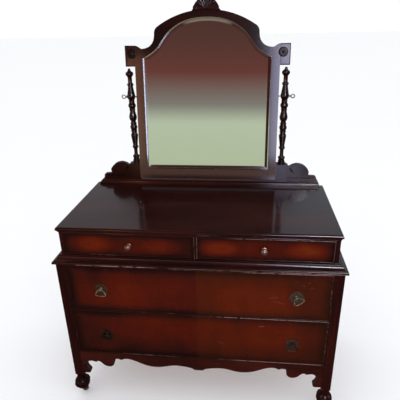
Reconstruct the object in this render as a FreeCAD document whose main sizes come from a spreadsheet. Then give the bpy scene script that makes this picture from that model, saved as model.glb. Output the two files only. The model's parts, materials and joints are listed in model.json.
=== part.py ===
import FreeCAD, Part
import math
import os
import re

doc = FreeCAD.newDocument("dresser")
V = FreeCAD.Vector

# ---------------------------------------------------------------- dimensions
# Plain millimetres. Depths are counted back from the face of the lower drawers.
DIMS = [
    ("front_y", -301.32, "row Y of the lower drawer face plane"),
    ("top_z", 880, "top surface of the case above the floor"),
    ("top_w", 1118, "top board width"),
    ("top_d", 539, "top board depth"),
    ("top_t", 22, "top board thickness"),
    ("upper_half", 553, "half width of the upper tier"),
    ("upper_face", 16, "set-back of the upper tier"),
    ("upper_t", 16, "side board thickness of the upper tier"),
    ("tier_z", 752, "top of the waist moulding"),
    ("waist_z", 710, "underside of the waist moulding"),
    ("nose_half", 591, "half width over the waist nosing"),
    ("nose_y", -12, "front of the waist nosing"),
    ("lower_half", 581, "half width of the lower tier"),
    ("leg_w", 40, "leg width"),
    ("leg_d", 42, "leg depth"),
    ("rail_z", 489, "joint height between the two long drawers"),
    ("apron_z", 256, "top of the apron"),
    ("ankle_z", 118, "height of the ankles"),
    ("ball_r", 38, "radius of the carved ball"),
    ("ball_z", 65, "height of the carved ball"),
    ("ball_y", 19, "depth of the carved ball"),
    ("foot_z", 32, "flat underside of the feet"),
    ("gap", 1.2, "reveal round the drawer fronts"),
    ("front_t", 20, "drawer front thickness"),
    ("cock_w", 4, "cock bead width"),
    ("cock_h", 2.4, "cock bead projection"),
    ("box_side_t", 12, "drawer side thickness"),
    ("box_back_t", 11, "drawer back thickness"),
    ("box_floor_t", 6, "drawer bottom thickness"),
    ("box_back_y", 500, "back of the drawer boxes"),
    ("tail_l", 12, "length of the dovetails let into the drawer fronts"),
    ("groove", 5, "depth of the grooves that hold the drawer bottoms"),
    ("board_t", 12, "dust board thickness"),
    ("plate_half", 538, "half width of the mirror base plate"),
    ("plate_y", 508, "front of the mirror base plate"),
    ("plate_back", 594, "back of the mirror base plate"),
    ("plate_t", 22, "mirror base plate thickness"),
    ("post_x", 355, "post centre"),
    ("post_y", 561, "post centre depth"),
    ("block_w", 48, "square of the post block"),
    ("pivot_z", 1297.6, "height of the mirror pivots"),
    ("lean", 6.7, "backward lean of the mirror, degrees"),
    ("frame_half", 327.5, "half width over the mirror stiles"),
    ("sight_half", 290, "half width of the sight opening"),
    ("frame_t", 22, "mirror frame thickness"),
    ("frame_foot", -385.6, "bottom of the mirror frame from the pivot"),
    ("sight_foot", -336.6, "bottom of the sight opening from the pivot"),
    ("ear_half", 371.5, "half width over the ears"),
    ("pull_x", 400, "pull centre"),
    ("pull_mid_z", 604, "post height of the pulls, upper long drawer"),
    ("pull_low_z", 370, "post height of the pulls, lower long drawer"),
    ("knob_x", 268.5, "knob centre"),
    ("knob_z", 801, "knob height"),
    ("askew", 38, "turn of the loose right-hand pull, degrees"),
    ("wheel_r", 14, "caster wheel radius"),
    ("wheel_w", 12, "caster wheel width"),
    ("trail", 9, "caster trail"),
    ("stem_r", 5, "caster stem radius"),
    ("play", 0.06, "radial running clearance"),
]
NAMES = {entry[0] for entry in DIMS}

sheet = doc.addObject("Spreadsheet::Sheet", "Dims")
for row, (alias, number, note) in enumerate(DIMS, 1):
    sheet.set("A%d" % row, alias)
    sheet.set("B%d" % row, str(number))
    sheet.set("C%d" % row, note)
    sheet.setAlias("B%d" % row, alias)
doc.recompute()


def size(alias):
    return float(sheet.get(alias))


def bound(text):
    """An expression with each dimension name pointed at the spreadsheet."""
    def named(match):
        word = match.group(0)
        return "Dims." + word if word in NAMES else word
    return re.sub(r"[a-z_]+[a-z0-9_]*", named, str(text))


def bind(obj, **expressions):
    for prop, text in expressions.items():
        obj.setExpression(prop.replace("__", "."), bound(text))
    return obj


# ------------------------------------------------------------------- helpers
PARTS = []


def keep(obj, label, row_frame=True):
    """Register one sub-part under the name of its file."""
    obj.Label = label
    if row_frame:
        bind(obj, Placement__Base__y="front_y")
    PARTS.append((obj, label))
    return obj


def box(label, x, y, z):
    piece = doc.addObject("Part::Box", label)
    bind(piece, Length="(%s) - (%s)" % (x[1], x[0]), Width="(%s) - (%s)" % (y[1], y[0]),
         Height="(%s) - (%s)" % (z[1], z[0]), Placement__Base__x=x[0], Placement__Base__y=y[0],
         Placement__Base__z=z[0])
    return piece


def rod(label, radius, length, start, axis=(0, 0, 1)):
    """A cylinder from start along axis."""
    piece = doc.addObject("Part::Cylinder", label)
    bind(piece, Radius=radius, Height=length)
    piece.Placement = FreeCAD.Placement(V(0, 0, 0), FreeCAD.Rotation(V(0, 0, 1), V(*axis)))
    bind(piece, Placement__Base__x=start[0], Placement__Base__y=start[1], Placement__Base__z=start[2])
    return piece


def ball(label, radius, centre):
    piece = doc.addObject("Part::Sphere", label)
    bind(piece, Radius=radius, Placement__Base__x=centre[0], Placement__Base__y=centre[1],
         Placement__Base__z=centre[2])
    return piece


def cone(label, r_low, r_high, height, placement):
    piece = doc.addObject("Part::Cone", label)
    bind(piece, Radius1=r_low, Radius2=r_high, Height=height)
    piece.Placement = placement
    return piece


def group(label, members):
    piece = doc.addObject("Part::Compound", label)
    piece.Links = members
    return piece


def fuse(label, members):
    piece = doc.addObject("Part::MultiFuse", label)
    piece.Shapes = members
    piece.Refine = True
    return piece


def cut(label, base, tool):
    piece = doc.addObject("Part::Cut", label)
    piece.Base = base
    piece.Tool = tool
    return piece


def common(label, members):
    piece = doc.addObject("Part::Common", label)
    piece.Base, piece.Tool = members
    piece.Refine = False
    return piece


def mirror_x(label, source):
    piece = doc.addObject("Part::Mirroring", label)
    piece.Source = source
    piece.Base = V(0, 0, 0)
    piece.Normal = V(1, 0, 0)
    return piece


def outline(start, steps):
    """Closed sketch geometry from a start point and line, arc or spline steps."""
    geometry = []
    here = V(start[0], start[1], 0)
    for step in steps:
        points = [V(p[0], p[1], 0) for p in step[1:]]
        if step[0] == "line":
            if here.isEqual(points[0], 1e-7):
                continue
            geometry.append(Part.LineSegment(here, points[0]))
        elif step[0] == "arc":
            geometry.append(Part.Arc(here, points[0], points[1]))
        else:
            curve = Part.BSplineCurve()
            curve.interpolate([here] + points)
            geometry.append(curve)
        here = points[-1]
    return geometry


def polygon(points):
    return outline(points[0], [("line", p) for p in points[1:]] + [("line", points[0])])


def sketch(body, role, geometry):
    plane = next(f for f in body.Origin.OriginFeatures if f.Role == role)
    drawn = body.newObject("Sketcher::SketchObject", body.Name + "_sketch")
    drawn.AttachmentSupport = [(plane, "")]
    drawn.MapMode = "FlatFace"
    drawn.addGeometry(geometry, False)
    return drawn


def pad(label, role, geometry, start, length):
    """A padded outline. XZ sketches grow towards the back, XY up, YZ to the right."""
    body = doc.addObject("PartDesign::Body", label)
    drawn = sketch(body, role, geometry)
    back = role == "XZ_Plane"
    bind(drawn, AttachmentOffset__Base__z="-1 * (%s)" % start if back else start)
    feature = body.newObject("PartDesign::Pad", label + "_pad")
    feature.Profile = drawn
    bind(feature, Length=length)
    feature.Reversed = back
    body.Tip = feature
    return body


def turned(label, geometry):
    """A body of revolution about Z from a half profile in XZ."""
    body = doc.addObject("PartDesign::Body", label)
    drawn = sketch(body, "XZ_Plane", geometry)
    feature = body.newObject("PartDesign::Revolution", label + "_turn")
    feature.Profile = drawn
    feature.ReferenceAxis = (drawn, ["V_Axis"])
    feature.Angle = 360
    body.Tip = feature
    return body


def lathe(label, stations, start_r=0.0):
    """Turn a half profile given as (height, radius, kind) stations.

    A bead station bows the profile out to its radius between its neighbours.
    """
    steps = []
    held = None
    for height, radius, kind in stations:
        if kind == "bead":
            held = (radius, height)
        elif held:
            steps.append(("arc", held, (radius, height)))
            held = None
        else:
            steps.append(("line", (radius, height)))
    first = (start_r, stations[0][0])
    steps.append(("line", (start_r, stations[-1][0])))
    steps.append(("line", first))
    return turned(label, outline(first, steps))


def moulded(label, half_w, front, back, profile):
    """A board whose front and both ends carry one moulding.

    profile lists (inset from the nosing, height) steps from the bottom to the top.
    """
    low = profile[0]
    high = profile[-1][-1]
    ends = [("line", (half_w - low[0], low[1]))]
    for step in profile[1:]:
        ends.append((step[0],) + tuple((half_w - p[0], p[1]) for p in step[1:]))
    ends.append(("line", (-half_w + high[0], high[1])))
    previous = [low] + [step[-1] for step in profile[1:]]
    for index in range(len(profile) - 1, 0, -1):
        step = profile[index]
        middle = tuple((-half_w + p[0], p[1]) for p in step[1:-1])
        target = previous[index - 1]
        ends.append((step[0],) + middle[::-1] + ((-half_w + target[0], target[1]),))
    start = (-half_w + low[0], low[1])
    ends.append(("line", start))
    along_y = pad(label + "_ends", "XZ_Plane", outline(start, ends[:-1]), front, str(back - front))
    side = [("line", (back, low[1])), ("line", (back, high[1])), ("line", (front + high[0], high[1]))]
    for index in range(len(profile) - 1, 0, -1):
        step = profile[index]
        middle = tuple((front + p[0], p[1]) for p in step[1:-1])
        target = previous[index - 1]
        side.append((step[0],) + middle[::-1] + ((front + target[0], target[1]),))
    section = outline((front + low[0], low[1]), side)
    along_x = pad(label + "_front", "YZ_Plane", section, str(-half_w), str(2 * half_w))
    return common(label + "_board", [along_y, along_x])


def pill(x, y, z, axis, angle):
    """A placement turned about an axis through its own base point."""
    return FreeCAD.Placement(V(x, y, z), FreeCAD.Rotation(V(*axis), angle))


# ----------------------------------------------------------------- top board
TOP = size("top_z")
T = size("top_t")
top_profile = [(10, TOP - T), ("line", (6, TOP - T)), ("line", (6, TOP - T + 3)),
               ("arc", (4.4, TOP - T + 5.6), (2.6, TOP - T + 7)), ("line", (2.6, TOP - T + 9)),
               ("line", (0, TOP - T + 9)), ("line", (0, TOP - T + 15)),
               ("arc", (2.2, TOP - 2.6), (9, TOP))]
keep(moulded("top_board", size("top_w") / 2, 0, size("top_d"), top_profile), "top_board")

# ---------------------------------------------------------------- upper tier
UNDER = "top_z - top_t"
frieze = pad("frieze_bar", "YZ_Plane",
             outline((13, TOP - T - 8),
                     [("arc", (10.2, TOP - T - 4), (13, TOP - T)), ("line", (34, TOP - T)),
                      ("line", (34, TOP - T - 8)), ("line", (13, TOP - T - 8))]),
             "upper_t - upper_half", "2 * (upper_half - upper_t)")
keep(frieze, "frieze_rail")

sides = []
for name, sign in (("left", -1), ("right", 1)):
    near = "upper_half - upper_t" if sign > 0 else "-upper_half"
    far = "upper_half" if sign > 0 else "upper_t - upper_half"
    sides.append(box("upper_side_" + name, (near, far), ("upper_face", "top_d"), ("tier_z", UNDER)))
    inner = "lower_half - 21" if sign > 0 else "-lower_half + 3"
    outer = "lower_half - 3" if sign > 0 else "21 - lower_half"
    sides.append(box("lower_side_" + name, (inner, outer), ("leg_d", "top_d - leg_d"),
                     ("apron_z - 30", "waist_z")))
keep(group("sides", sides), "side_panels")

divider = box("divider", ("-6", "6"), ("upper_face", "top_d - 16"), ("tier_z", "top_z - top_t - 8"))
keep(group("divider_board", [divider]), "upper_divider")

# ------------------------------------------------------------ waist moulding
NH = size("nose_half")
NY = size("nose_y")
WZ = size("waist_z")
TZ = size("tier_z")
BACK = size("top_d")
waist_profile = [(11, WZ), ("arc", (8.2, WZ + 5.4), (3, WZ + 8)), ("line", (0, WZ + 8)),
                 ("line", (0, WZ + 15)), ("arc", (0.9, WZ + 17.4), (3.4, WZ + 18.4)),
                 ("line", (6, WZ + 18.4)), ("line", (6, WZ + 21)),
                 ("arc", (14.5, WZ + 24.6), (21, WZ + 34)), ("line", (21, WZ + 37)),
                 ("line", (25, WZ + 37)), ("line", (25, TZ))]
REACH = 40


def waist_bar(label, role, place, start, length):
    """One straight length of the waist moulding, before its mitres."""
    first = place(*waist_profile[0])
    steps = [(step[0],) + tuple(place(*p) for p in step[1:]) for step in waist_profile[1:]]
    steps += [("line", place(REACH, TZ)), ("line", place(REACH, WZ)), ("line", first)]
    return pad(label, role, outline(first, steps), start, length)


front_bar = waist_bar("waist_front_bar", "YZ_Plane", lambda inset, z: (NY + inset, z),
                      "-nose_half", "2 * nose_half")
side_bar = waist_bar("waist_side_bar", "XZ_Plane", lambda inset, z: (NH - inset, z),
                     "nose_y", "top_d - nose_y")
front_plan = polygon([(-NH, NY), (NH, NY), (NH - REACH, NY + REACH), (-NH + REACH, NY + REACH)])
side_plan = polygon([(NH, NY), (NH, BACK), (NH - REACH, BACK), (NH - REACH, NY + REACH)])
front_stencil = pad("waist_front_plan", "XY_Plane", front_plan, "waist_z - 1", "60")
side_stencil = pad("waist_side_plan", "XY_Plane", side_plan, "waist_z - 1", "60")
front_run = common("waist_front", [front_bar, front_stencil])
side_run = common("waist_right", [side_bar, side_stencil])
runs = [front_run, side_run, mirror_x("waist_left", side_run)]
keep(group("waist_runs", runs), "waist_moulding")

# ----------------------------------------------------- dust boards and guides
boards = [
    box("upper_deck", ("40 - nose_half", "nose_half - 40"), ("40 + nose_y", "top_d - 16"),
        ("tier_z - board_t", "tier_z")),
    box("middle_board", ("leg_w - lower_half", "lower_half - leg_w"), ("front_t + 2", "top_d - 16"),
        ("rail_z - 5 - board_t / 2", "rail_z - 5 + board_t / 2")),
    box("bottom_board", ("leg_w - lower_half", "lower_half - leg_w"), ("front_t + 2", "top_d - 16"),
        ("apron_z - 10", "apron_z + 2")),
]
keep(group("boards", boards), "dust_boards")

guides = []
GUIDES = (("middle", "rail_z - 11", "rail_z + 36"), ("bottom", "apron_z - 10", "apron_z + 36"))
for level, bottom, top in GUIDES:
    guides.append(box("guide_left_" + level, ("21 - lower_half", "leg_w - lower_half"),
                      ("leg_d", "top_d - leg_d"), (bottom, top)))
    guides.append(box("guide_right_" + level, ("lower_half - leg_w", "lower_half - 21"),
                      ("leg_d", "top_d - leg_d"), (bottom, top)))
keep(group("guides", guides), "drawer_guides")

backs = [
    box("upper_back", ("upper_t - upper_half", "upper_half - upper_t"), ("top_d - 16", "top_d"),
        ("tier_z - board_t", "top_z - top_t")),
    box("back_top_rail", ("leg_w - lower_half", "lower_half - leg_w"), ("top_d - 16", "top_d"),
        ("rail_z + 120", "tier_z - board_t")),
    box("back_panel", ("leg_w - lower_half", "lower_half - leg_w"), ("top_d - 16", "top_d - 9"),
        ("apron_z + 30", "rail_z + 120")),
    box("back_low_rail", ("leg_w - lower_half", "lower_half - leg_w"), ("top_d - 16", "top_d"),
        ("apron_z - 30", "apron_z + 30")),
]
keep(group("backs", backs), "back_panels")


# ---------------------------------------------------------------------- legs
def front_leg(label):
    """Right-hand stile, ankle and carved ball-and-claw foot."""
    half = size("lower_half")
    centre = half - size("leg_w") / 2
    radius = size("ball_r")
    low = size("ball_z")
    mid = size("ball_y")
    ankle = size("ankle_z")
    stile = box(label + "_stile", ("lower_half - leg_w", "lower_half"), ("0", "leg_d"),
                ("ankle_z", "waist_z"))
    neck = lathe(label + "_neck", [(ankle + 1, 19.5, ""), (ankle - 5, 17.2, "bead"), (ankle - 14, 21, ""),
                                   (ankle - 30, 29, ""), (low, 29, "")])
    neck.Placement.Base = V(centre, mid + 1, 0)
    parts = [stile, neck, ball(label + "_ball", "ball_r", (str(centre), "ball_y", "ball_z"))]
    for index in range(4):
        turn = 45 + 90 * index
        direction = V(math.cos(math.radians(turn)), math.sin(math.radians(turn)), 0)
        claw = doc.addObject("Part::Torus", "%s_claw_%d" % (label, index))
        claw.Radius1 = radius
        claw.Radius2 = 6.4
        claw.Angle3 = 112
        across = FreeCAD.Rotation(direction, V(0, 0, 1), V(0, 0, 0), "XYZ")
        start = FreeCAD.Rotation(V(0, 0, 1), -50)
        claw.Placement = FreeCAD.Placement(V(centre, mid, low), across.multiply(start))
        parts.append(claw)
        for step, (angle, thick) in enumerate(((34, 8.6), (-2, 8.2), (-36, 7.2))):
            spot = V(centre, mid, low) + direction * (radius * math.cos(math.radians(angle)))
            spot.z += radius * math.sin(math.radians(angle))
            parts.append(ball("%s_knuckle_%d_%d" % (label, index, step), str(thick),
                              (str(spot.x), str(spot.y), str(spot.z))))
    whole = fuse(label + "_whole", parts)
    base = box(label + "_flat", (str(centre - 80), str(centre + 80)), ("-80", "120"), ("-80", "foot_z"))
    flat = cut(label + "_flatted", whole, base)
    socket = rod(label + "_socket", "stem_r + play", "40", (str(centre), "ball_y", "foot_z - 1"))
    return cut(label + "_bored", flat, socket)


carved_leg = front_leg("leg")
keep(group("leg_right", [carved_leg]), "front_leg_right")
keep(mirror_x("leg_left", carved_leg), "front_leg_left")

rear = []
for name, sign in (("left", -1), ("right", 1)):
    spots = ("lower_half - leg_w", "lower_half") if sign > 0 else ("-lower_half", "leg_w - lower_half")
    centre = sign * (size("lower_half") - size("leg_w") / 2)
    post = box("rear_post_" + name, spots, ("top_d - leg_d", "top_d"), ("ankle_z", "waist_z"))
    foot = cone("rear_foot_" + name, "19 * sqrt(2)", "20 * sqrt(2)", "ankle_z - foot_z",
                pill(centre, BACK - size("leg_d") / 2, size("foot_z"), (0, 0, 1), 0))
    block = box("rear_block_" + name, spots, ("top_d - leg_d", "top_d"), ("foot_z", "ankle_z"))
    shaped = common("rear_shaped_" + name, [foot, block])
    joined = fuse("rear_joined_" + name, [post, shaped])
    socket = rod("rear_socket_" + name, "stem_r + play", "40",
                 (str(centre), "top_d - leg_d / 2", "foot_z - 1"))
    rear.append(cut("rear_leg_" + name, joined, socket))
keep(group("rear_pair", rear), "rear_legs")

# ------------------------------------------------------------------- aprons
AZ = size("apron_z")
LEG_IN = size("lower_half") - size("leg_w")
scallop = [("line", (LEG_IN, AZ - 62)),
           ("spline", (528, 185), (515, 190), (509, 199)),
           ("spline", (500, 205), (484, 205), (470, 200.5)),
           ("spline", (460, 207), (450, 203), (440, 193)),
           ("spline", (425, 182), (405, 180), (392, 187), (386, 198), (388, 212)),
           ("spline", (380, 224), (368, 226.5), (352, 221)),
           ("spline", (335, 228), (319, 229), (300, 225), (277, 216), (250, 204), (221, 195.5), (195, 193),
            (168, 195), (131, 204), (107, 208), (80, 207), (50, 203), (34, 199)),
           ("spline", (26, 196), (20, 189.5)),
           ("line", (-20, 189.5))]
mirrored = []
here = (LEG_IN, AZ - 62)
for step in scallop[1:-1]:
    mirrored.append((here, step))
    here = step[-1]
for begin, step in reversed(mirrored):
    middle = [(-p[0], p[1]) for p in step[1:-1]][::-1]
    scallop.append((step[0],) + tuple(middle) + ((-begin[0], begin[1]),))
scallop.append(("line", (-LEG_IN, AZ)))
scallop.append(("line", (LEG_IN, AZ)))
apron_board = pad("apron_board", "XZ_Plane", outline((LEG_IN, AZ), scallop), "0", "front_t")
bracket = pad("bracket_right", "XZ_Plane",
              outline((LEG_IN, 196), [("spline", (531, 192), (522, 186), (516, 178)),
                                      ("spline", (513, 168), (506, 158), (502.5, 150)),
                                      ("spline", (503, 142), (509, 137.5), (518, 134)),
                                      ("line", (LEG_IN, 131)), ("line", (LEG_IN, 196))]),
              "-3", "front_t + 3")
fitted = cut("bracket_fitted", bracket, apron_board)
keep(group("aprons", [apron_board, fitted, mirror_x("bracket_left", fitted)]), "front_apron")

side_aprons = []
for name, sign in (("left", -1), ("right", 1)):
    low, high = size("leg_d"), BACK - size("leg_d")
    shape = outline((low, AZ - 30), [
        ("line", (low, AZ - 66)),
        ("spline", (low + 26, AZ - 58), (low + 60, AZ - 46), (low + 120, AZ - 42)),
        ("line", (high - 120, AZ - 42)),
        ("spline", (high - 60, AZ - 46), (high - 26, AZ - 58), (high, AZ - 66)),
        ("line", (high, AZ - 30)), ("line", (low, AZ - 30))])
    start = "lower_half - 21" if sign > 0 else "3 - lower_half"
    side_aprons.append(pad("side_apron_" + name, "YZ_Plane", shape, start, "18"))
keep(group("side_apron_pair", side_aprons), "side_aprons")


# ------------------------------------------------------------------- drawers
TAIL_PITCH = 30
TAIL_FLARE = 2


def tails(label, low_x, root_y, end_y, z):
    """A row of dovetails as thick as a drawer side, wider at their ends than at their roots."""
    count = round((z[1] - z[0]) / TAIL_PITCH)
    pitch = (z[1] - z[0]) / count
    root = 0.33 * pitch
    end = root + TAIL_FLARE
    row = []
    for index in range(count):
        middle = z[0] + (index + 0.5) * pitch
        shape = polygon([(root_y, middle - root), (end_y, middle - end), (end_y, middle + end),
                         (root_y, middle + root)])
        row.append(pad("%s_%d" % (label, index), "YZ_Plane", shape, str(low_x), "box_side_t"))
    return row


def drawer(label, x, z, face, floor_z):
    """Front with a cock bead, a dovetailed box, and a bottom held in grooves."""
    x0, x1 = x
    z0, z1 = z
    plate = pad(label + "_plate", "XZ_Plane", polygon([(x0, z0), (x1, z0), (x1, z1), (x0, z1)]),
                str(face + 1.6), str(size("front_t") - 1.6))
    w = size("cock_w")
    rim = doc.addObject("PartDesign::Body", label + "_rim")
    drawn = sketch(rim, "XZ_Plane", polygon([(x0, z0), (x1, z0), (x1, z1), (x0, z1)])
                   + polygon([(x0 + w, z0 + w), (x0 + w, z1 - w), (x1 - w, z1 - w), (x1 - w, z0 + w)]))
    drawn.AttachmentOffset.Base = V(0, 0, -(face + 1.6))
    raised = rim.newObject("PartDesign::Pad", label + "_rim_pad")
    raised.Profile = drawn
    bind(raised, Length="cock_h")
    eased = rim.newObject("PartDesign::Chamfer", label + "_rim_ease")
    doc.recompute()
    crest = []
    for number, edge in enumerate(raised.Shape.Edges, 1):
        if all(abs(v.Point.y - raised.Shape.BoundBox.YMin) < 1e-6 for v in edge.Vertexes):
            crest.append("Edge%d" % number)
    eased.Base = (raised, crest)
    eased.Size = 1.1
    rim.Tip = eased
    t = size("box_side_t")
    inside = face + size("front_t")
    rear_y = size("box_back_y")
    rear_in = rear_y - size("box_back_t")
    height = z1 - 12
    tall = (floor_z, height)
    bottom = box(label + "_bottom", ("%s + box_side_t - groove" % x0, "%s - box_side_t + groove" % x1),
                 ("%s - groove" % inside, str(rear_y)),
                 (str(floor_z + 8), "%s + box_floor_t" % (floor_z + 8)))
    front_tails = []
    walls = []
    rear_tails = []
    for end, low_x in (("a", x0), ("b", x1 - t)):
        lapped = tails("%s_front_tail_%s" % (label, end), low_x, inside, inside - size("tail_l"), tall)
        through = tails("%s_rear_tail_%s" % (label, end), low_x, rear_in, rear_y, tall)
        board = box("%s_side_%s" % (label, end), (str(low_x), str(low_x + t)), (str(inside), str(rear_in)),
                    (str(floor_z), str(height)))
        whole = fuse("%s_side_whole_%s" % (label, end), [board] + lapped + through)
        walls.append(cut("%s_side_grooved_%s" % (label, end), whole, bottom))
        front_tails += lapped
        rear_tails += through
    rear = box(label + "_rear", (str(x0), str(x1)), (str(rear_in), str(rear_y)),
               (str(floor_z + 14), str(height)))
    walls.append(cut(label + "_rear_cut", rear, group(label + "_rear_sockets", rear_tails)))
    keep(group(label + "_walls", walls), label + "_box")
    keep(group(label + "_panel", [bottom]), label + "_floor")
    solid_front = fuse(label + "_front_whole", [plate, rim])
    return cut(label + "_front_cut", solid_front, group(label + "_sockets", front_tails + [bottom]))


gap = size("gap")
UF = size("upper_face")
open_half = size("upper_half") - size("upper_t")
upper_z = (TZ + gap, TOP - T - 8 - gap)
fronts = {}
for name, sign in (("left", -1), ("right", 1)):
    edges = sorted((sign * (6 + gap), sign * (open_half - gap)))
    fronts["small_drawer_" + name] = drawer("small_drawer_" + name, edges, upper_z, UF, TZ + 0.6)
RZ = size("rail_z")
long_x = (-LEG_IN + gap, LEG_IN - gap)
fronts["long_drawer_upper"] = drawer("long_drawer_upper", long_x, (RZ + 1, WZ - gap), 0, RZ + 1.6)
fronts["long_drawer_lower"] = drawer("long_drawer_lower", long_x, (AZ + 1.4, RZ - 1), 0, AZ + 2.6)
for label, front in fronts.items():
    if label.startswith("long"):
        height = "pull_mid_z" if label.endswith("upper") else "pull_low_z"
        holes = [rod(label + "_hole_" + side, "2.5 + play", "40", (spot, "-10", height), (0, 1, 0))
                 for side, spot in (("left", "-pull_x"), ("right", "pull_x"))]
        front = cut(label + "_bored", front, group(label + "_holes", holes))
    keep(front, label + "_front")

# --------------------------------------------------------------------- knobs
for name, sign in (("left", -1), ("right", 1)):
    knob = lathe("knob_shape_" + name, [(-1.6, 11, ""), (0.6, 11, ""), (2.2, 7.2, ""), (9, 5.6, ""),
                                        (12.4, 8.2, ""), (14, 12.2, ""), (18.5, 13.9, "bead"), (23, 8, ""),
                                        (25.2, 4.4, "bead"), (25.6, 0.8, "")])
    knob.Placement = FreeCAD.Placement(V(sign * size("knob_x"), UF, size("knob_z")),
                                       FreeCAD.Rotation(V(1, 0, 0), 90))
    keep(knob, "knob_" + name)
    bind(knob, Placement__Base__y="front_y + upper_face")

# --------------------------------------------------------------------- pulls
EYE = 14.0
PLATE_DROP = 8.0


def pull_turn(label, side):
    """Turn of a pull about its post: one hangs loose and askew."""
    loose = (label, side) == ("upper", "right")
    return FreeCAD.Rotation(V(0, 1, 0), -size("askew") if loose else 0.0)


def octagon(w, h, c):
    return polygon([(-w + c, -h), (w - c, -h), (w, -h + c), (w, h - c), (w - c, h), (-w + c, h),
                    (-w, h - c), (-w, -h + c)])


for label, height in (("upper", "pull_mid_z"), ("lower", "pull_low_z")):
    plates = []
    for side, sign in (("left", -1), ("right", 1)):
        base = pad("back_%s_%s" % (label, side), "XZ_Plane", octagon(26.5, 29, 12.5), "-0.4", "2")
        raised = pad("raise_%s_%s" % (label, side), "XZ_Plane", octagon(20.5, 22.6, 9.8), "-1.6", "2")
        whole = fuse("plate_raw_%s_%s" % (label, side), [base, raised])
        whole.Placement.Base.z = -PLATE_DROP
        hole = rod("bush_%s_%s" % (label, side), "2.5 + play", "10", ("0", "-6", "0"), (0, 1, 0))
        plate = cut("plate_%s_%s" % (label, side), whole, hole)
        plate.Placement = FreeCAD.Placement(V(0, 0, 0), pull_turn(label, side))
        bind(plate, Placement__Base__x=("pull_x" if sign > 0 else "-pull_x"), Placement__Base__z=height)
        plates.append(plate)
    keep(group("plates_" + label, plates), "pull_plates_" + label)
    for side, sign in (("left", -1), ("right", 1)):
        name = "%s_%s" % (label, side)
        stem = lathe("stem_" + name, [(-25, 2.5, ""), (-23.4, 2.5, ""), (-23.4, 5.4, ""), (-20.4, 5.4, ""),
                                      (-20.4, 2.5, ""), (1.7, 2.5, ""), (1.7, 6.2, ""), (3.2, 6.2, ""),
                                      (5.4, 4.2, ""), (9.4, 4.2, ""), (EYE, 6.2, "bead"), (18.4, 3.2, ""),
                                      (19.2, 0.8, "")])
        stem.Placement = FreeCAD.Placement(V(0, 0, 0), FreeCAD.Rotation(V(1, 0, 0), 90))
        eye = rod("eye_" + name, "1.6 + play", "20", ("-10", str(-EYE), "0"), (1, 0, 0))
        post = cut("pull_post_cut_" + name, stem, eye)
        spot = V(sign * size("pull_x"), size("front_y"), size(height))
        swing = pull_turn(label, side)
        post.Placement = FreeCAD.Placement(spot, swing)
        keep(post, "pull_post_" + name, False)
        bind(post, Placement__Base__x=("pull_x" if sign > 0 else "-pull_x"), Placement__Base__y="front_y",
             Placement__Base__z=height)
        body = doc.addObject("PartDesign::Body", "bail_path_" + name)
        track = sketch(body, "XZ_Plane", outline((0, 0), [
            ("line", (6.4, 0)), ("arc", (8.9, -0.9), (10.6, -2.8)), ("line", (20.6, -18.6)),
            ("arc", (21.2, -24.6), (16.8, -28.4)), ("arc", (0, -30.4), (-16.8, -28.4)),
            ("arc", (-21.2, -24.6), (-20.6, -18.6)), ("line", (-10.6, -2.8)),
            ("arc", (-8.9, -0.9), (-6.4, 0)), ("line", (0, 0))]))
        wire_end = sketch(body, "YZ_Plane", [Part.Circle(V(0, 0, 0), V(0, 0, 1), 1.6)])
        loop = body.newObject("PartDesign::AdditivePipe", "bail_pipe_" + name)
        loop.Profile = wire_end
        loop.Spine = track
        loop.Transition = 0
        body.Tip = loop
        body.Placement = FreeCAD.Placement(spot + V(0, -EYE, 0), swing)
        keep(body, "pull_bail_" + name, False)
        bind(body, Placement__Base__x=("pull_x" if sign > 0 else "-pull_x"),
             Placement__Base__y="front_y - %s" % EYE, Placement__Base__z=height)

# ------------------------------------------------------------- caster wheels
SPOTS = {
    "front_left": (-1, "ball_y", 35.0),
    "front_right": (1, "ball_y", -60.0),
    "rear_left": (-1, "top_d - leg_d / 2", 150.0),
    "rear_right": (1, "top_d - leg_d / 2", 20.0),
}
for name, (sign, depth, heading) in SPOTS.items():
    r, w, trail = size("wheel_r"), size("wheel_w"), size("trail")
    top = size("foot_z")
    disc = rod("disc_" + name, "17", "1.6", ("0", "0", "foot_z - 1.9"))
    stem = rod("pin_" + name, "stem_r", "34", ("0", "0", "foot_z - 1"))
    cheeks = []
    for side, low in (("a", -w / 2 - 2.3), ("b", w / 2 + 0.5)):
        shape = outline((-8, top - 1), [("line", (trail - 4.6, r - 0.5)),
                                        ("arc", (trail, r - 4.8), (trail + 4.6, r - 0.5)),
                                        ("line", (12, top - 1)), ("line", (-8, top - 1))])
        cheek = pad("cheek_%s_%s" % (name, side), "XZ_Plane", shape, str(low), "1.8")
        cheeks.append(cheek)
    axle = rod("axle_" + name, "2.2", str(w + 3), (str(trail), str(-w / 2 - 1.5), "wheel_r"), (0, 1, 0))
    fork = fuse("fork_" + name, [disc, stem, axle] + cheeks)
    keep(fork, "caster_fork_" + name, False)
    tread = [(-w / 2, r - 2, ""), (-w / 2 + 2, r, ""), (w / 2 - 2, r, ""), (w / 2, r - 2, "")]
    wheel = lathe("tread_" + name, tread, 2.2 + size("play"))
    wheel.Placement = FreeCAD.Placement(V(trail, 0, r), FreeCAD.Rotation(V(1, 0, 0), 90))
    roller = group("roller_" + name, [wheel])
    keep(roller, "caster_wheel_" + name, False)
    centre = sign * (size("lower_half") - size("leg_w") / 2)
    for piece in (fork, roller):
        piece.Placement = pill(centre, 0, 0, (0, 0, 1), heading)
        bind(piece, Placement__Base__y="front_y + " + depth)

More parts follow.
